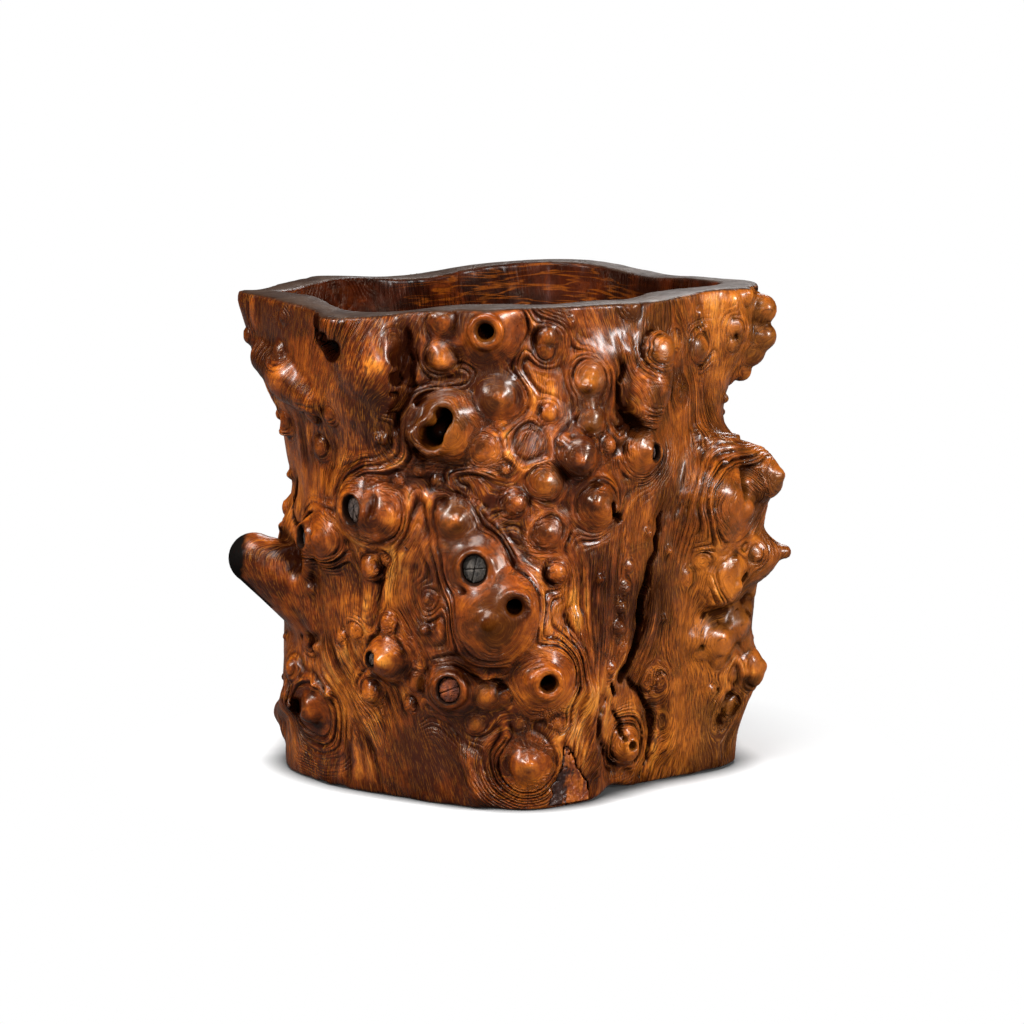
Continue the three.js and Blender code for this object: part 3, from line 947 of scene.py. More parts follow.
def paint(mesh, name, values):
    """Stores one number or one vector for each point."""
    if name in mesh.attributes:
        mesh.attributes.remove(mesh.attributes[name])
    values = np.asarray(values, np.float32)
    kind, label = ("FLOAT", "value") if values.ndim == 1 else ("FLOAT_VECTOR", "vector")
    mesh.attributes.new(name, kind, "POINT").data.foreach_set(label, values.ravel())


def ramp_between(values, start, end):
    share = np.clip((values - start) / (end - start), 0, 1)
    return share * share * (3 - 2 * share)


# The grain as it lies over the burl: its lines run up the pot, part round the knobs and close into
# rings on them. Folds wrap the knobs like contour lines. Lengths in millimetres, ring reach in knob radii
GRAIN_RADIUS = 82.0
RING_REACH = 1.45
PARTING = 2.0
NOISE_CELLS = 32
WRAP_MERGE = 2.6
WRAP_REACH = 1.0
WRAP_FOLD = 2.7
RING_SHIFT = 7.3
BROAD_FOLDS = (8.5, 46.0)
NARROW_FOLDS = (4.4, 34.0)
FOLD_SHARPNESS = 4.5
TIGHT_REACH = 2.2
WIDE_REACH = 7.0
Marks = namedtuple("Marks", "flow ring ringed crown wrap wrapped amber plain")


def lattice_noise(vector, seed):
    """Smooth noise from 0 to 1 at places in lattice steps."""
    table = np.random.default_rng(seed).random((NOISE_CELLS,) * 3).astype(np.float32)
    base = np.floor(vector).astype(int)
    share = vector - base
    share = share * share * (3 - 2 * share)
    total = np.zeros(len(vector))
    for bits in CORNERS:
        weight = np.prod(np.where(bits, share, 1 - share), axis=1)
        total += weight * table[tuple(((base + bits) % NOISE_CELLS).T)]
    return total


def ring_marks(points, uneven):
    """The rings of every knob and eye: their lines, their strength, how the grain parts, and amber tops."""
    ring = np.zeros((len(points), 3))
    ringed, push, amber = (np.zeros(len(points)) for _ in range(3))
    for index, knob in enumerate(placed):
        gap = points - knob.middle
        near = np.sqrt((gap ** 2).sum(1))
        level, up = side_ways(knob.out)
        across, tall = gap @ level, gap @ up
        size = knob.radius
        push += PARTING * size ** 2 * across / (near ** 2 + (0.75 * size) ** 2)
        warped = near * uneven
        weight = np.exp(-(warped / (RING_REACH * size)) ** 4) * knob.rings
        mine = weight > ringed
        flat = np.hypot(across, tall) + 1e-6
        parts = warped + RING_SHIFT * index, across / flat, tall / flat
        ring[mine] = np.stack([part[mine] for part in parts], 1)
        ringed = np.maximum(ringed, weight)
        amber = np.maximum(amber, knob.tint * np.exp(-(near / (0.62 * size)) ** 2))
    return ring, ringed, push, amber


def wrap_marks(points):
    """How far out from the knobs places lie, how strongly and how surely folds wrap them, and the crowns."""
    merged = np.full(len(points), 1e-30)
    wrapped, sure, crown = (np.zeros(len(points)) for _ in range(3))
    for knob in placed:
        if knob.wrapped:
            near = np.sqrt(((points - knob.middle) ** 2).sum(1))
            size = knob.radius
            beyond = near - size
            merged += np.exp(-np.minimum(beyond, 150.0) / WRAP_MERGE)
            close = np.exp(-(np.maximum(beyond, 0) / (WRAP_REACH * size + 1.0)) ** 2)
            wrapped = np.maximum(wrapped, close * min(size / 6, 1.0))
            sure = np.maximum(sure, (knob.wrapped - 1) * close)
            crown = np.maximum(crown, np.exp(-(near / size) ** 4))
    return -WRAP_MERGE * np.log(merged), wrapped, sure, crown


def read_marks(points):
    x, y, z = points.T
    plain = np.zeros(len(points))
    for middle, size in plain_spots:
        plain = np.maximum(plain, np.exp(-(((points - middle) ** 2).sum(1) / size ** 2) ** 2))
    uneven = 1 + 0.22 * wavy(x, y, z, 15, 35)
    ring, ringed, push, amber = ring_marks(points, uneven)
    turn = np.arctan2(y - axis_y, x - axis_x)
    flow = turn * GRAIN_RADIUS + 8.0 * wavy(x, y, z, 75, 31) + 2.6 * wavy(x, y, z, 28, 33) - push
    turned = flow / GRAIN_RADIUS
    lines = np.stack([GRAIN_RADIUS * np.cos(turned), GRAIN_RADIUS * np.sin(turned), z], 1)
    beyond, wrapped, sure, crown = wrap_marks(points)
    wrap = beyond * (1 + 0.3 * wavy(x, y, z, 26, 60)) + 1.5 * wavy(x, y, z, 22, 61)
    wrap += 0.6 * wavy(x, y, z, 9, 63)
    broken = np.clip(0.62 + 1.0 * wavy(x, y, z, 19, 57) + 0.6 * wavy(x, y, z, 8, 58), 0.08, 1)
    wrapped *= ramp_between(beyond, -1.5, 0.8) * np.maximum(broken, sure) * (1 - plain)
    return Marks(lines, ring, ringed * (1 - plain), crown, wrap, wrapped, amber, plain)


def billow(noise, sharp):
    """Rounded folds with a sharp crease between them, from 0 in the crease to 1 on the fold."""
    return np.clip(np.abs(noise - 0.5) * sharp, 0, 1) ** 0.75


def folds_of(marks, points):
    """The burl's folds in millimetres, and how far each place lies down in a groove."""
    def lines(width, length, seed):
        return lattice_noise(marks.flow / np.array([width, width, length]), seed)

    patchy = np.clip(0.25 + 1.1 * wavy(*points.T, 30, 59), 0.05, 1)
    strong = patchy * (1 - marks.ringed) * (1 - 0.8 * marks.wrapped)
    strong = strong * (1 - marks.plain) * (1 - 0.8 * marks.crown)
    broad = billow(lines(*BROAD_FOLDS, 61), FOLD_SHARPNESS)
    narrow = billow(lines(*NARROW_FOLDS, 63), FOLD_SHARPNESS)
    around = np.abs(np.sin(math.pi * marks.wrap / WRAP_FOLD)) ** 0.8
    folds = (1.7 * (broad - 0.6) + 0.6 * (narrow - 0.6)) * strong + 1.6 * (around - 0.6) * marks.wrapped
    deep = np.maximum((1 - broad) ** 3, 0.6 * (1 - narrow) ** 3) * strong
    deep = np.maximum(deep, (1 - around) ** 2 * marks.wrapped)
    return folds, deep


def socket_marks(points):
    """How far places lie in the mouth of a dead knot, which is painted black for shade and dirt."""
    dark = np.zeros(len(points))
    for knob in CORE_KNOBS:
        _, _, distance = core_shape(knob._replace(sunk=knob.sunk - MOUTH_DEPTH), 0.0)
        dark = np.maximum(dark, ramp_between(-distance(*points.T), -1.1, -0.6))
    return dark


def tone_of(points):
    """How much darker or paler the named parts are."""
    tone = np.zeros(len(points))
    for place, size, change in ZONES:
        middle, _ = on_burl(place)
        tone += change * np.exp(-(((points - middle) ** 2).sum(1) / size ** 2))
    return tone


def charred(points):
    """The stub's black end, on the far side of a slanting edge."""
    down = char_middle[2] - points[:, 2]
    edge = char_middle[0] - CHAR_LEAN * down + CHAR_SLANT * np.maximum(down - CHAR_DROP, 0)
    char = ramp_between(edge - points[:, 0] + 0.8 * wavy(*points.T, 9, 37), -0.8, 0.8)
    return char * (np.linalg.norm(points - char_middle, axis=1) < CHAR_REACH)


def dress_burl(thing, field):
    """Paints the burl's marks: grain, rings, the hollow and crest marks from which light and shade are
    painted, the sawn rim, the inside and the char.
    """
    points = vectors_of(thing.data, "co") / MM
    normals = vectors_of(thing.data, "normal")
    x, y, z = points.T
    marks = read_marks(points)
    folds, grooves = folds_of(marks, points)
    tight = np.clip(1 - field.at(points + normals * TIGHT_REACH) / TIGHT_REACH, -1, 1)
    wide = np.clip(1 - field.at(points + normals * WIDE_REACH) / WIDE_REACH, -1, 1)
    inner = table_at(inner_table, x, y, np.clip(z, 13, rim_height - 2))
    outer = table_at(outer_table, x, y, z)
    reach = from_axis(x, y)
    inside = ramp_between(-(reach - (inner * 0.6 + outer * 0.4)), -1.5, 1.5)
    rim = ramp_between(z - rim_level(x, y), -1.3, -0.5) * ramp_between(normals[:, 2], 0.6, 0.85)
    # Sunken places below the trunk, which the finish paints black as painted shade.
    hole = ramp_between(outer - reach, 2.6, 6.0) * (1 - inside) * (1 - rim)
    tone = tone_of(points)
    painted = marks._asdict()
    painted["amber"] = marks.amber * np.clip(1 + 1.1 * tone, 0, 1)
    # Painted light and shade: crease marks closed-in places and crest open ones; the finish paints creases
    # darker and crests paler from them. hole also takes the knot mouths, which are painted black.
    painted["crease"] = ramp_between(0.8 * np.maximum(tight, 0) + 0.65 * np.maximum(wide, 0), 0.08, 0.80)
    painted["crest"] = ramp_between(-tight - 0.5 * wide, 0.05, 0.75)
    painted["hole"] = np.maximum(hole, 0.85 * socket_marks(points))
    painted.update(folds=folds, groove=grooves, tone=tone, inside=inside, rim=rim, char=charred(points))
    for name, values in painted.items():
        paint(thing.data, name, values)


RIDGE_HEIGHT = 0.0003
RIDGE_WIDTH = 2.4
RIDGE_LENGTH = 30.0
RIDGE_SIZES = {"Fold height": MM, "Ridge height": RIDGE_HEIGHT, "Ridge width": RIDGE_WIDTH,
               "Rim height": rim_height * MM}


def grain_ridges(material):
    """Geometry nodes that raise the folds and fine ridges along the grain and give the wood its finish."""
    group = bpy.data.node_groups.new("grain ridges", "GeometryNodeTree")
    group.interface.new_socket("Geometry", in_out="INPUT", socket_type="NodeSocketGeometry")
    for label, value in RIDGE_SIZES.items():
        group.interface.new_socket(label, in_out="INPUT", socket_type="NodeSocketFloat").default_value = value
    group.interface.new_socket("Geometry", in_out="OUTPUT", socket_type="NodeSocketGeometry")
    tree = NodeTree(group)
    entry = tree.nodes.new("NodeGroupInput")
    mesh, fold_height, ridge_height, width, rim_top = (Value(tree, entry.outputs[label])
                                                       for label in ("Geometry", *RIDGE_SIZES))

    def mark(label, kind="FLOAT"):
        return tree.node("GeometryNodeInputNamedAttribute", {"Name": label}, "Attribute", data_type=kind)

    def noise_of(label, lengths):
        return tree.noise(tree.steps(mark(label, "FLOAT_VECTOR"), lengths), 1.0, 1.0, 0.5)

    lines = noise_of("flow", tree.vector(width, width, RIDGE_LENGTH))
    rings = noise_of("ring", tree.vector(width * 0.6, 1.2, 1.2))
    wave = tree.blend(mark("ringed"), lines, rings)
    rise = (wave - 0.5) * ridge_height + mark("folds") * fold_height
    keep = (1.0 - mark("rim")) * (1.0 - mark("inside") * 0.75)
    z = tree.split(tree.node("GeometryNodeInputPosition", {}))[2]
    from_edge = tree.math("MINIMUM", (z - 0.0012) * 250.0, (rim_top - z) * 250.0)
    keep = keep * tree.node("ShaderNodeClamp", {"Value": from_edge})
    normal = tree.node("GeometryNodeInputNormal", {})
    push = tree.node("ShaderNodeVectorMath", {0: normal, "Scale": rise * keep}, operation="SCALE")
    moved = tree.node("GeometryNodeSetPosition", {"Geometry": mesh, "Offset": push})
    real = tree.node("GeometryNodeRealizeInstances", {"Geometry": moved})
    finished = tree.node("GeometryNodeSetMaterial", {"Geometry": real, "Material": material})
    tree.feed(tree.nodes.new("NodeGroupOutput").inputs["Geometry"], finished)
    return group


class Value:
    """What a node gives out, which adds, subtracts and multiplies like a number."""

    def __init__(self, tree, socket):
        self.tree = tree
        self.socket = socket

    def __add__(self, other):
        return self.tree.math("ADD", self, other)

    def __sub__(self, other):
        return self.tree.math("SUBTRACT", self, other)

    def __rsub__(self, other):
        return self.tree.math("SUBTRACT", other, self)

    def __mul__(self, other):
        return self.tree.math("MULTIPLY", self, other)


class NodeTree:
    """A tree of nodes that are made and joined by short calls."""

    def __init__(self, tree):
        self.nodes = tree.nodes
        self.links = tree.links

    def feed(self, socket, value):
        if isinstance(value, Value):
            self.links.new(value.socket, socket)
        else:
            socket.default_value = value

    def node(self, kind, inputs, output=0, **settings):
        """Adds a node, sets it up, feeds its inputs and gives back one of its outputs."""
        node = self.nodes.new(kind)
        for name, setting in settings.items():
            setattr(node, name, setting)
        for key, value in inputs.items():
            self.feed(node.inputs[key], value)
        return Value(self, node.outputs[output])

    def math(self, kind, a, b=0.0):
        return self.node("ShaderNodeMath", {0: a, 1: b}, operation=kind)

    def most(self, value, *others):
        for other in others:
            value = self.math("MAXIMUM", value, other)
        return value

    def blend(self, share, a, b):
        return a * (1.0 - share) + b * share

    def vector(self, x, y, z):
        return self.node("ShaderNodeCombineXYZ", {0: x, 1: y, 2: z})

    def split(self, vector):
        parts = self.node("ShaderNodeSeparateXYZ", {0: vector}).socket.node
        return [Value(self, socket) for socket in parts.outputs]

    def steps(self, vector, lengths):
        """A vector counted in steps of the given lengths."""
        return self.node("ShaderNodeVectorMath", {0: vector, 1: lengths}, operation="DIVIDE")

    def noise(self, vector, scale, detail=3.0, rough=0.55, warp=0.0):
        inputs = {"Vector": vector, "Scale": scale, "Detail": detail, "Roughness": rough, "Distortion": warp}
        return self.node("ShaderNodeTexNoise", inputs, "Fac")

    def span(self, value, low, high, to_low, to_high):
        inputs = {"Value": value, "From Min": low, "From Max": high, "To Min": to_low, "To Max": to_high}
        return self.node("ShaderNodeMapRange", inputs, "Result")


class Finish(NodeTree):
    """A material and its nodes."""

    def __init__(self, name):
        self.material = bpy.data.materials.new(name)
        self.material.use_nodes = True
        super().__init__(self.material.node_tree)
        self.shader = self.nodes["Principled BSDF"]

    def mark(self, name, output="Fac"):
        return self.node("ShaderNodeAttribute", {}, output, attribute_name=name)

    def place(self):
        return self.node("ShaderNodeTexCoord", {}, "Object")

    def ramp(self, value, stops):
        colour = self.node("ShaderNodeValToRGB", {"Fac": value}, "Color")
        elements = colour.socket.node.color_ramp.elements
        while len(elements) < len(stops):
            elements.new(0.5)
        for element, (spot, stop) in zip(elements, stops):
            element.position = spot
            element.color = (*stop, 1)
        return colour

    def mix(self, share, a, b):
        """Between two colours, on the mix node's colour sockets."""
        a, b = ((*colour, 1) if isinstance(colour, tuple) else colour for colour in (a, b))
        return self.node("ShaderNodeMix", {"Factor": share, 6: a, 7: b}, 2, data_type="RGBA")

    def creased(self, noise, sharp):
        """Rounded folds with a sharp crease between them, from a noise."""
        return self.math("MINIMUM", self.math("ABSOLUTE", noise - 0.5) * sharp, 1.0)

    def bump(self, height, distance, under=None, strength=1.0):
        inputs = {"Strength": strength, "Distance": distance, "Height": height}
        if under is not None:
            inputs["Normal"] = under
        return self.node("ShaderNodeBump", inputs, "Normal")

    def close(self, **inputs):
        """Feeds the shader by its inputs' names and gives back the material."""
        for name, value in inputs.items():
            self.feed(self.shader.inputs[name.replace("_", " ")], value)
        return self.material


BLACK_BROWN = (0.0105, 0.0016, 0.0004)
DEEP_RED = (0.040, 0.0060, 0.0012)
RED_BROWN = (0.182, 0.0320, 0.0026)
WARM_BROWN = (0.415, 0.0990, 0.0060)
AMBER = (0.650, 0.2150, 0.0200)
GOLD = (0.480, 0.1600, 0.0190)
SAWN_GREY = (0.046, 0.027, 0.018)
SAWN_BROWN = (0.016, 0.0062, 0.0030)
# Black of the stub's burnt end, also painted into holes and knot mouths as shade.
CHAR_AND_SHADE_BLACK = (0.004, 0.0033, 0.003)
WRAP_LINE = WRAP_FOLD / 2
WAX = 0.58
SHEEN = 0.56


def grain_noise(wood, width, length, detail, rough, warp=0.0):
    """Noise drawn out along the burl's grain and round its rings."""
    straight = wood.steps(wood.mark("flow", "Vector"), (width, width, length))
    round_ones = wood.steps(wood.mark("ring", "Vector"), (width * 0.6, 0.9, 0.9))
    lines, rings = (wood.noise(strip, 1.0, detail, rough, warp) for strip in (straight, round_ones))
    return wood.blend(wood.mark("ringed"), lines, rings)


Look = namedtuple("Look", "place streaks fibres patches blotches mottle uneven crown crest crease rim")


def look_at_burl(wood):
    """The noises and painted marks that the burl's colour, bumps and gloss share."""
    place = wood.place()
    streaks = grain_noise(wood, 1.9, 26.0, 3.0, 0.6, 0.3)
    fibres = wood.blend(0.7, grain_noise(wood, 0.55, 7.0, 2.0, 0.7), grain_noise(wood, 0.30, 3.6, 1.0, 0.6))
    patches = wood.noise(place, 24.0, 3.0)
    blotches = wood.noise(place, 75.0, 4.0, 0.6, 0.6)
    mottle = wood.noise(place, 230.0, 3.0, 0.65, 0.3)
    uneven = wood.span(wood.noise(place, 27.0, 2.0), 0.42, 0.58, 0.5, 1.0)
    marks = [wood.mark(name) for name in ("crown", "crest", "crease", "rim")]
    return Look(place, streaks, fibres, patches, blotches, mottle, uneven, *marks)


def fold_lows(wood, look, off_rim):
    """Where the surface lies low between its folds, bumped in and painted as shade: lines along the grain,
    and rings round the knobs.
    """
    straight = wood.creased(grain_noise(wood, 2.3, 30.0, 1.0, 0.5, 0.2), 8.0)
    around = wood.math("ABSOLUTE", wood.math("SINE", wood.mark("wrap") * (math.pi / WRAP_LINE)))
    wrapped = wood.mark("wrapped")
    smooth_part = wood.span(wood.noise(look.place, 32.0, 1.0), 0.46, 0.60, 0.0, 0.65)
    unfolded = wood.most(wood.mark("plain"), wrapped, look.crown)
    line_lows = (1.0 - unfolded) * (smooth_part * (1.0 - straight))
    unlike = wood.span(wood.noise(look.place, 80.0, 1.0), 0.40, 0.58, 0.25, 1.0)
    round_lows = wrapped * unlike * (1.0 - around)
    return wood.most(line_lows, round_lows) * off_rim


def wood_colour_painted_light_and_shade(wood, look):
    """The wood's colour before the darker painted shade of grooves and creases: red-brown to amber, with dark
    and pale fibres, crests and fold tops painted paler and creases painted darker.
    """
    tone = look.streaks * 0.12 + look.blotches * 0.30 + look.mottle * 0.18 + look.patches * 0.40
    # Painted light and shade: crests and fold tops paler, creases darker.
    tone = tone + look.crest * 0.16 + wood.mark("folds") * 0.04 - look.crease * 0.24
    tone = wood.span(tone + wood.mark("tone") * 0.10, 0.444, 0.668, 0.0, 1.0)
    colour = wood.ramp(tone, [(0.02, DEEP_RED), (0.36, RED_BROWN), (0.68, WARM_BROWN), (1.0, AMBER)])
    right_side = wood.span(wood.split(look.place)[0], 0.03, 0.075, 0.0, 0.28)
    colour = wood.mix(right_side * wood.span(look.patches, 0.4, 0.6, 0.3, 1.0), colour, GOLD)
    warm = wood.mark("amber") * wood.span(look.blotches, 0.35, 0.65, 0.2, 1.0)
    colour = wood.mix(warm * 0.75, colour, AMBER)
    plainer = wood.span(look.crown, 0.0, 1.0, 1.0, 0.25) * look.uneven
    colour = wood.mix(wood.span(look.fibres, 0.42, 0.492, 0.85, 0.0) * plainer, colour, DEEP_RED)
    return wood.mix(wood.span(look.fibres, 0.52, 0.62, 0.0, 0.34) * plainer, colour, AMBER)


def burl_shade_and_foot_darkening(wood, look):
    """Painted shade in the grooves and creases, broken up by noise, and a darkening towards the foot."""
    z = wood.split(look.place)[2]
    # The wood is darker towards the foot, in blotches.
    foot_darkening = wood.span(z, 0.002, 0.014, 0.7, 0.0) * wood.span(look.blotches, 0.4, 0.6, 0.2, 1.0)
    # Noise that makes the painted shade in the creases uneven.
    variation = wood.span(look.fibres, 0.35, 0.6, 0.45, 0.0) + wood.span(look.blotches, 0.3, 0.7, 0.35, 0.0)
    variation = variation + wood.span(wood.mark("folds"), -0.6, 0.5, 0.4, 0.0)
    # Painted shade: the creases are darkened.
    crease_shade = wood.span(look.crease * (variation + 0.45), 0.14, 0.70, 0.0, 0.92)
    crease_shade = crease_shade * wood.span(look.crown, 0.0, 1.0, 1.0, 0.3)
    # Painted shade in the grooves between the folds, with the crease shade and the darkening towards the
    # foot.
    return wood.most(wood.mark("groove") * 0.85, foot_darkening, crease_shade)


def inner_colour(wood, look):
    """The dark hollow, with level streaks left by the carver's gouge."""
    x, y, z = wood.split(look.place)
    stains = wood.noise(wood.vector(x * 60.0, y * 60.0, z * 60.0), 1.0, 4.0, 0.62, 0.8)
    colour = wood.ramp(stains, [(0.40, BLACK_BROWN), (0.60, DEEP_RED), (0.78, RED_BROWN), (0.95, AMBER)])
    streaks = wood.noise(wood.vector(x * 40.0, y * 40.0, z * 420.0), 1.0, 2.0, 0.5, 0.3)
    thin_lines = wood.span(wood.creased(streaks, 24.0), 0.0, 1.0, 0.3, 0.0)
    return wood.mix(thin_lines * wood.span(look.patches, 0.45, 0.6, 0.1, 1.0), colour, WARM_BROWN)


def burl_finish():
    """Waxed burl: smooth red-brown wood, amber knob tops, crests painted paler, creases, grooves and holes
    painted dark as shade, fine fibres and rings.
    """
    wood = Finish("burl")
    look = look_at_burl(wood)
    inside, hole, char = (wood.mark(name) for name in ("inside", "hole", "char"))
    off_rim = 1.0 - look.rim * 0.85
    lows = fold_lows(wood, look, off_rim)
    shade = wood.most(burl_shade_and_foot_darkening(wood, look), wood.span(lows, 0.25, 0.85, 0.0, 0.95))
    # Painted shade in the grooves, creases and lows between the folds, with the darkening towards the foot,
    # mixed towards black-brown.
    colour = wood.mix(shade, wood_colour_painted_light_and_shade(wood, look), BLACK_BROWN)
    # Painted shade: sunken places and knot mouths are painted black.
    colour = wood.mix(hole, colour, CHAR_AND_SHADE_BLACK)
    colour = wood.mix(inside, colour, inner_colour(wood, look))
    sawn = wood.mix(wood.span(look.blotches, 0.35, 0.65, 0.0, 1.0), SAWN_GREY, SAWN_BROWN)
    colour = wood.mix(look.rim, colour, sawn)
    colour = wood.mix(char, colour, CHAR_AND_SHADE_BLACK)
    pore_places = wood.steps(wood.mark("flow", "Vector"), (0.9, 0.9, 3.4))
    pores = wood.node("ShaderNodeTexVoronoi", {"Vector": pore_places, "Scale": 1.0}, "Distance")
    colour = wood.mix(wood.math("LESS_THAN", pores, 0.20) * 0.5, colour, BLACK_BROWN)
    bare_top = (1.0 - look.crown * 0.85) * off_rim
    normal = wood.bump(look.fibres * (bare_top * look.uneven), 0.0004)
    normal = wood.bump(lows * -1.0, 0.0015, normal)
    normal = wood.bump(look.streaks * bare_top, 0.00035, normal)
    normal = wood.bump(look.mottle, 0.0004, normal, 0.6)
    rough = wood.span(look.blotches, 0.3, 0.7, 0.26, 0.42) + look.crease * 0.25 + look.rim * 0.1 + char * 0.25
    shut = wood.most(look.crease, char, look.rim * 0.72, inside * 0.6, shade, hole)
    shine = wood.span(shut, 0.0, 0.8, 1.0, 0.06) * wood.span(look.crest, 0.0, 0.7, 0.42, 1.0)
    return wood.close(Base_Color=colour, Roughness=rough, Normal=normal, Specular_Tint=(1.0, 0.78, 0.58, 1),
                      Specular_IOR_Level=shine * SHEEN, Coat_Weight=shine * WAX, Coat_Roughness=0.21)


def plain_wood_finish(name, dark, light, roughness, scale, stretch):
    """Plain wood or a dry knot: one stretched noise for the streaks, a finer one for the pores."""
    wood = Finish(name)
    x, y, z = wood.split(wood.place())
    strip = wood.vector(x * stretch[0], y * stretch[1], z * stretch[2])
    streaks = wood.noise(strip, scale, 5.0, 0.62, 0.5)
    variation = wood.noise(wood.place(), scale * 5, 3.0)
    colour = wood.ramp(streaks, [(0.34, dark), (0.66, light)])
    brown = wood.ramp(streaks, [(0.36, DEEP_RED), (0.60, RED_BROWN), (0.80, WARM_BROWN)])
    colour = wood.mix(wood.mark("brown"), colour, brown)
    colour = wood.mix(wood.span(variation, 0.56, 0.7, 0.0, 0.6), colour, dark)
    normal = wood.bump(streaks, 0.0008, wood.bump(variation, 0.0004))
    rough = wood.span(streaks, 0.3, 0.7, roughness - 0.1, roughness + 0.12)
    return wood.close(Base_Color=colour, Roughness=rough, Normal=normal)


def wedge_finish():
    """Old wood: red-brown with orange flecks, and nearly black down its left side."""
    wood = Finish("wedge wood")
    place = wood.place()
    x, y, z = wood.split(place)
    streaks = wood.noise(wood.vector(x, y, z * 0.4), 300.0, 4.0, 0.6, 0.5)
    flecks = wood.noise(place, 900.0, 3.0)
    colour = wood.ramp(streaks, [(0.30, DEEP_RED), (0.46, RED_BROWN), (0.66, WARM_BROWN)])
    colour = wood.mix(wood.span(flecks, 0.60, 0.70, 0.0, 0.7), colour, AMBER)
    left_part = x + (streaks - 0.5) * 0.012
    middle = (wedge_low[0] + WEDGE_DARK * (wedge_high[0] - wedge_low[0])) * MM
    colour = wood.mix(wood.span(left_part, middle - 0.001, middle + 0.001, 0.92, 0.0), colour, BLACK_BROWN)
    normal = wood.bump(streaks, 0.0010, wood.bump(flecks, 0.0004))
    return wood.close(Base_Color=colour, Roughness=wood.span(flecks, 0.3, 0.7, 0.34, 0.55), Normal=normal)


burl_wood = burl_finish()
board_wood = plain_wood_finish("board wood", (0.05, 0.02, 0.01), (0.16, 0.075, 0.035), 0.5, 60,
                               (1.0, 0.12, 1.0))
wedge_wood = wedge_finish()
dead_wood = plain_wood_finish("dead knot", (0.010, 0.008, 0.007), (0.095, 0.078, 0.062), 0.7, 420,
                              (1.0, 1.0, 0.6))


def make_burl():
    thing = mesh_object("burl", *main_body(*surface_net(burl_field)))
    dress_burl(thing, burl_field)
    ridges = thing.modifiers.new("ridges", "NODES")
    ridges.node_group = grain_ridges(burl_wood)
    plain_mesh(thing)
    thin_out(thing, WALL_TRIANGLES)
    dress_burl(thing, burl_field)
    dress_plain(thing, burl_wood)
    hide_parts("burl_wall")


def finish_node(name, material):
    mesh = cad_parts[name].data
    mesh.materials.clear()
    mesh.materials.append(material)


def local_axes(low, high, step):
    return [np.arange(a, b + step, step) for a, b in zip(low, high)]


def make_core(knob):
    """A dry dead knot: an oval plug, pitted, with the cracks that drying leaves."""
    middle, out, distance = core_shape(knob, 0.0)
    reach = max(knob.wide, knob.high) + 1.5
    ends = np.array([middle - out * (CORE_LENGTH + 1), middle + out * (knob.rise + 1)])
    core = Field(local_axes(ends.min(0) - reach, ends.max(0) + reach, CORE_STEP))
    x, y, z = np.meshgrid(*core.axes, indexing="ij", sparse=True)
    core.values = distance(x, y, z) + 0.18 * wavy(x, y, z, 2.2, 41) + 0.1 * wavy(x, y, z, 1.1, 43)
    level, up = side_ways(out)
    for turn in knob.cracks:
        way = level * math.cos(math.radians(turn)) + up * math.sin(math.radians(turn))
        top = middle + out * (knob.rise - knob.sunk)
        span = way * reach
        for deep in np.arange(-0.4, 1.6, 0.3):
            core.rod(top - span - out * deep, top + span * 0.7 - out * deep, 0.24, 0.12, 0.2, cut=True)
    thing = mesh_object(knob.node + "_dry", *surface_net(core))
    thin_out(thing, CORE_TRIANGLES)
    paint(thing.data, "brown", np.full(len(thing.data.vertices), knob.brown))
    dress_plain(thing, dead_wood)
    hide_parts(knob.node)


def dress_plain(thing, material):
    thing.data.materials.clear()
    thing.data.materials.append(material)
    thing.data.shade_smooth()
    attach(thing, "root")


def make_wedge():
    """The wedge of older wood: the burl's own outside, rougher and full of worm-like pits."""
    wedge = Field(local_axes(wedge_low - 4, wedge_high + 4, WEDGE_STEP))
    x, y, z = np.meshgrid(*wedge.axes, indexing="ij")
    points = np.stack([x.ravel(), y.ravel(), z.ravel()], 1)
    outside = blank_corner.at(points).reshape(x.shape)
    rough = 0.5 * wavy(x, y, z, 3.2, 51) + 0.35 * wavy(x, y, z, 1.7, 53)
    wedge.values = np.maximum(outside + 0.2 + rough, wedge_prism(x, y, z, 0.0))
    pits = np.random.default_rng(19)
    for _ in range(WEDGE_PITS):
        across = pits.uniform(wedge_low[0], wedge_high[0])
        spot = np.array([across, wedge_low[1], pits.uniform(wedge_low[2] + 1, wedge_high[2])])
        size = pits.uniform(0.3, 0.6)
        wedge.rod(spot, spot + np.array([0, 6.0, 0]), size, size * 0.6, 0.3, cut=True)
    thing = mesh_object("foot_wedge_rough", *surface_net(wedge))
    thin_out(thing, WEDGE_TRIANGLES)
    dress_plain(thing, wedge_wood)
    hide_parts("foot_wedge")


make_burl()
finish_node("floor_board", board_wood)
make_wedge()
for knob in CORE_KNOBS:
    make_core(knob)


FLOOR_SIZE = 16
FLOOR_NEAR = 0.09
FLOOR_FAR = 0.15
FLOOR_GLOW = 0.25
FLOOR_BOUNCE = 0.1
CONTACT_REACH = 0.016
SURROUND_LIGHT = 0.018


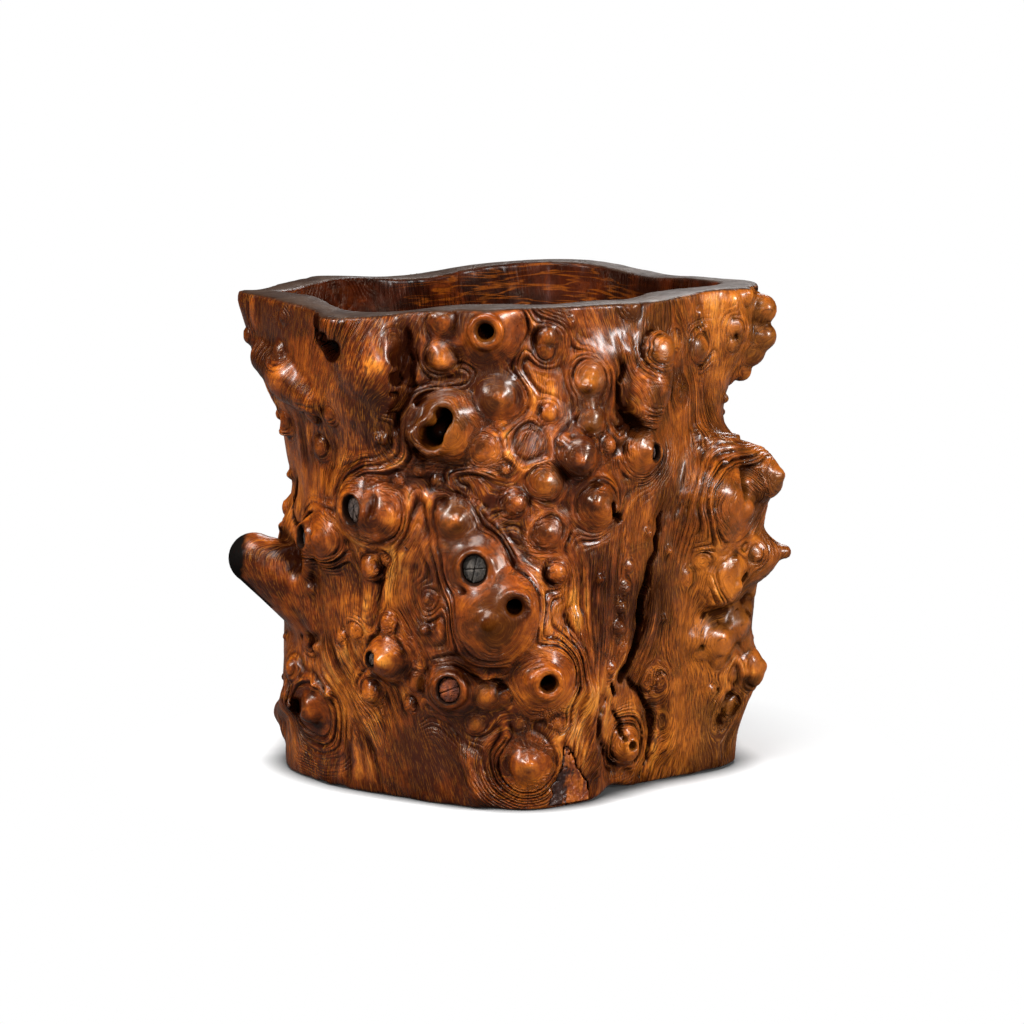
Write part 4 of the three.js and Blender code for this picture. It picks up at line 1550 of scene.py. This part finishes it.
def floor_finish():
    """A pale floor. The camera sees it near white, with the pot's shadow kept close to the foot and a contact
    shadow painted there by ambient occlusion.
    """
    ground = Finish("floor")
    seen = ground.node("ShaderNodeLightPath", {}, "Is Camera Ray")
    # Painted contact shadow: ambient occlusion darkens the floor's colour and glow near the pot.
    closeness = ground.node("ShaderNodeAmbientOcclusion", {"Distance": CONTACT_REACH}, "AO")
    open_floor = ground.span(closeness, 0.40, 0.92, 0.08, 1.0)
    pale = open_floor * 0.8
    pale = ground.mix(seen, (FLOOR_BOUNCE,) * 3, ground.vector(pale, pale, pale))
    ground.close(Base_Color=pale, Roughness=0.95, Specular_IOR_Level=0.1)
    glow = ground.node("ShaderNodeEmission", {"Strength": open_floor})
    away = ground.node("ShaderNodeVectorMath", {0: ground.place()}, "Value", operation="LENGTH")
    share = ground.span(away, FLOOR_NEAR, FLOOR_FAR, FLOOR_GLOW, 1.0) * seen
    plain = Value(ground, ground.shader.outputs[0])
    both = ground.node("ShaderNodeMixShader", {0: share, 1: plain, 2: glow})
    ground.feed(ground.nodes["Material Output"].inputs["Surface"], both)
    return ground.material


def lamp(name, place, size, height, power):
    light = bpy.data.lights.new(name, "AREA")
    light.shape = "RECTANGLE"
    light.size = size
    light.size_y = height
    light.energy = power
    holder = bpy.data.objects.new(name, light)
    holder.location = place
    holder.rotation_euler = (CAMERA_TARGET - holder.location).to_track_quat("-Z", "Y").to_euler()
    bpy.context.scene.collection.objects.link(holder)


SOFTBOXES = {
    "left softbox": ((-1.2, -0.8, 0.9), 0.22, 0.34, 25),
    "right softbox": ((1.25, -0.7, 0.7), 0.22, 0.34, 32),
    "overhead softbox": ((-0.25, -0.45, 1.2), 0.7, 0.5, 23),
    "front fill": ((0.3, -1.7, 0.7), 0.2, 0.2, 6),
    "back fill": ((0.3, 1.5, 0.9), 0.5, 0.4, 9),
}


def studio():
    """A pale floor, a white surround, and softboxes at the left, the right, overhead, in front and behind."""
    bpy.ops.mesh.primitive_plane_add(size=FLOOR_SIZE, location=(0, 0, 0))
    floor = bpy.context.object
    floor.name = "floor"
    floor.data.materials.append(floor_finish())
    for name, (place, wide, tall, power) in SOFTBOXES.items():
        lamp(name, Vector(place), wide, tall, power)
    world = bpy.data.worlds.new("world")
    world.use_nodes = True
    sky = NodeTree(world.node_tree)
    seen = sky.node("ShaderNodeLightPath", {}, "Is Camera Ray")
    background = sky.nodes["Background"]
    background.inputs["Color"].default_value = (1, 1, 1, 1)
    sky.feed(background.inputs["Strength"], sky.span(seen, 0.0, 1.0, SURROUND_LIGHT, 1.0))
    bpy.context.scene.world = world


def photo_camera():
    camera = bpy.data.cameras.new("camera")
    camera.lens = CAMERA_LENS
    holder = bpy.data.objects.new("camera", camera)
    holder.location = CAMERA_PLACE
    holder.rotation_euler = CAMERA_FORWARD.to_track_quat("-Z", "Y").to_euler()
    bpy.context.scene.collection.objects.link(holder)
    bpy.context.scene.camera = holder


studio()
photo_camera()
bpy.context.scene.view_settings.view_transform = "Standard"
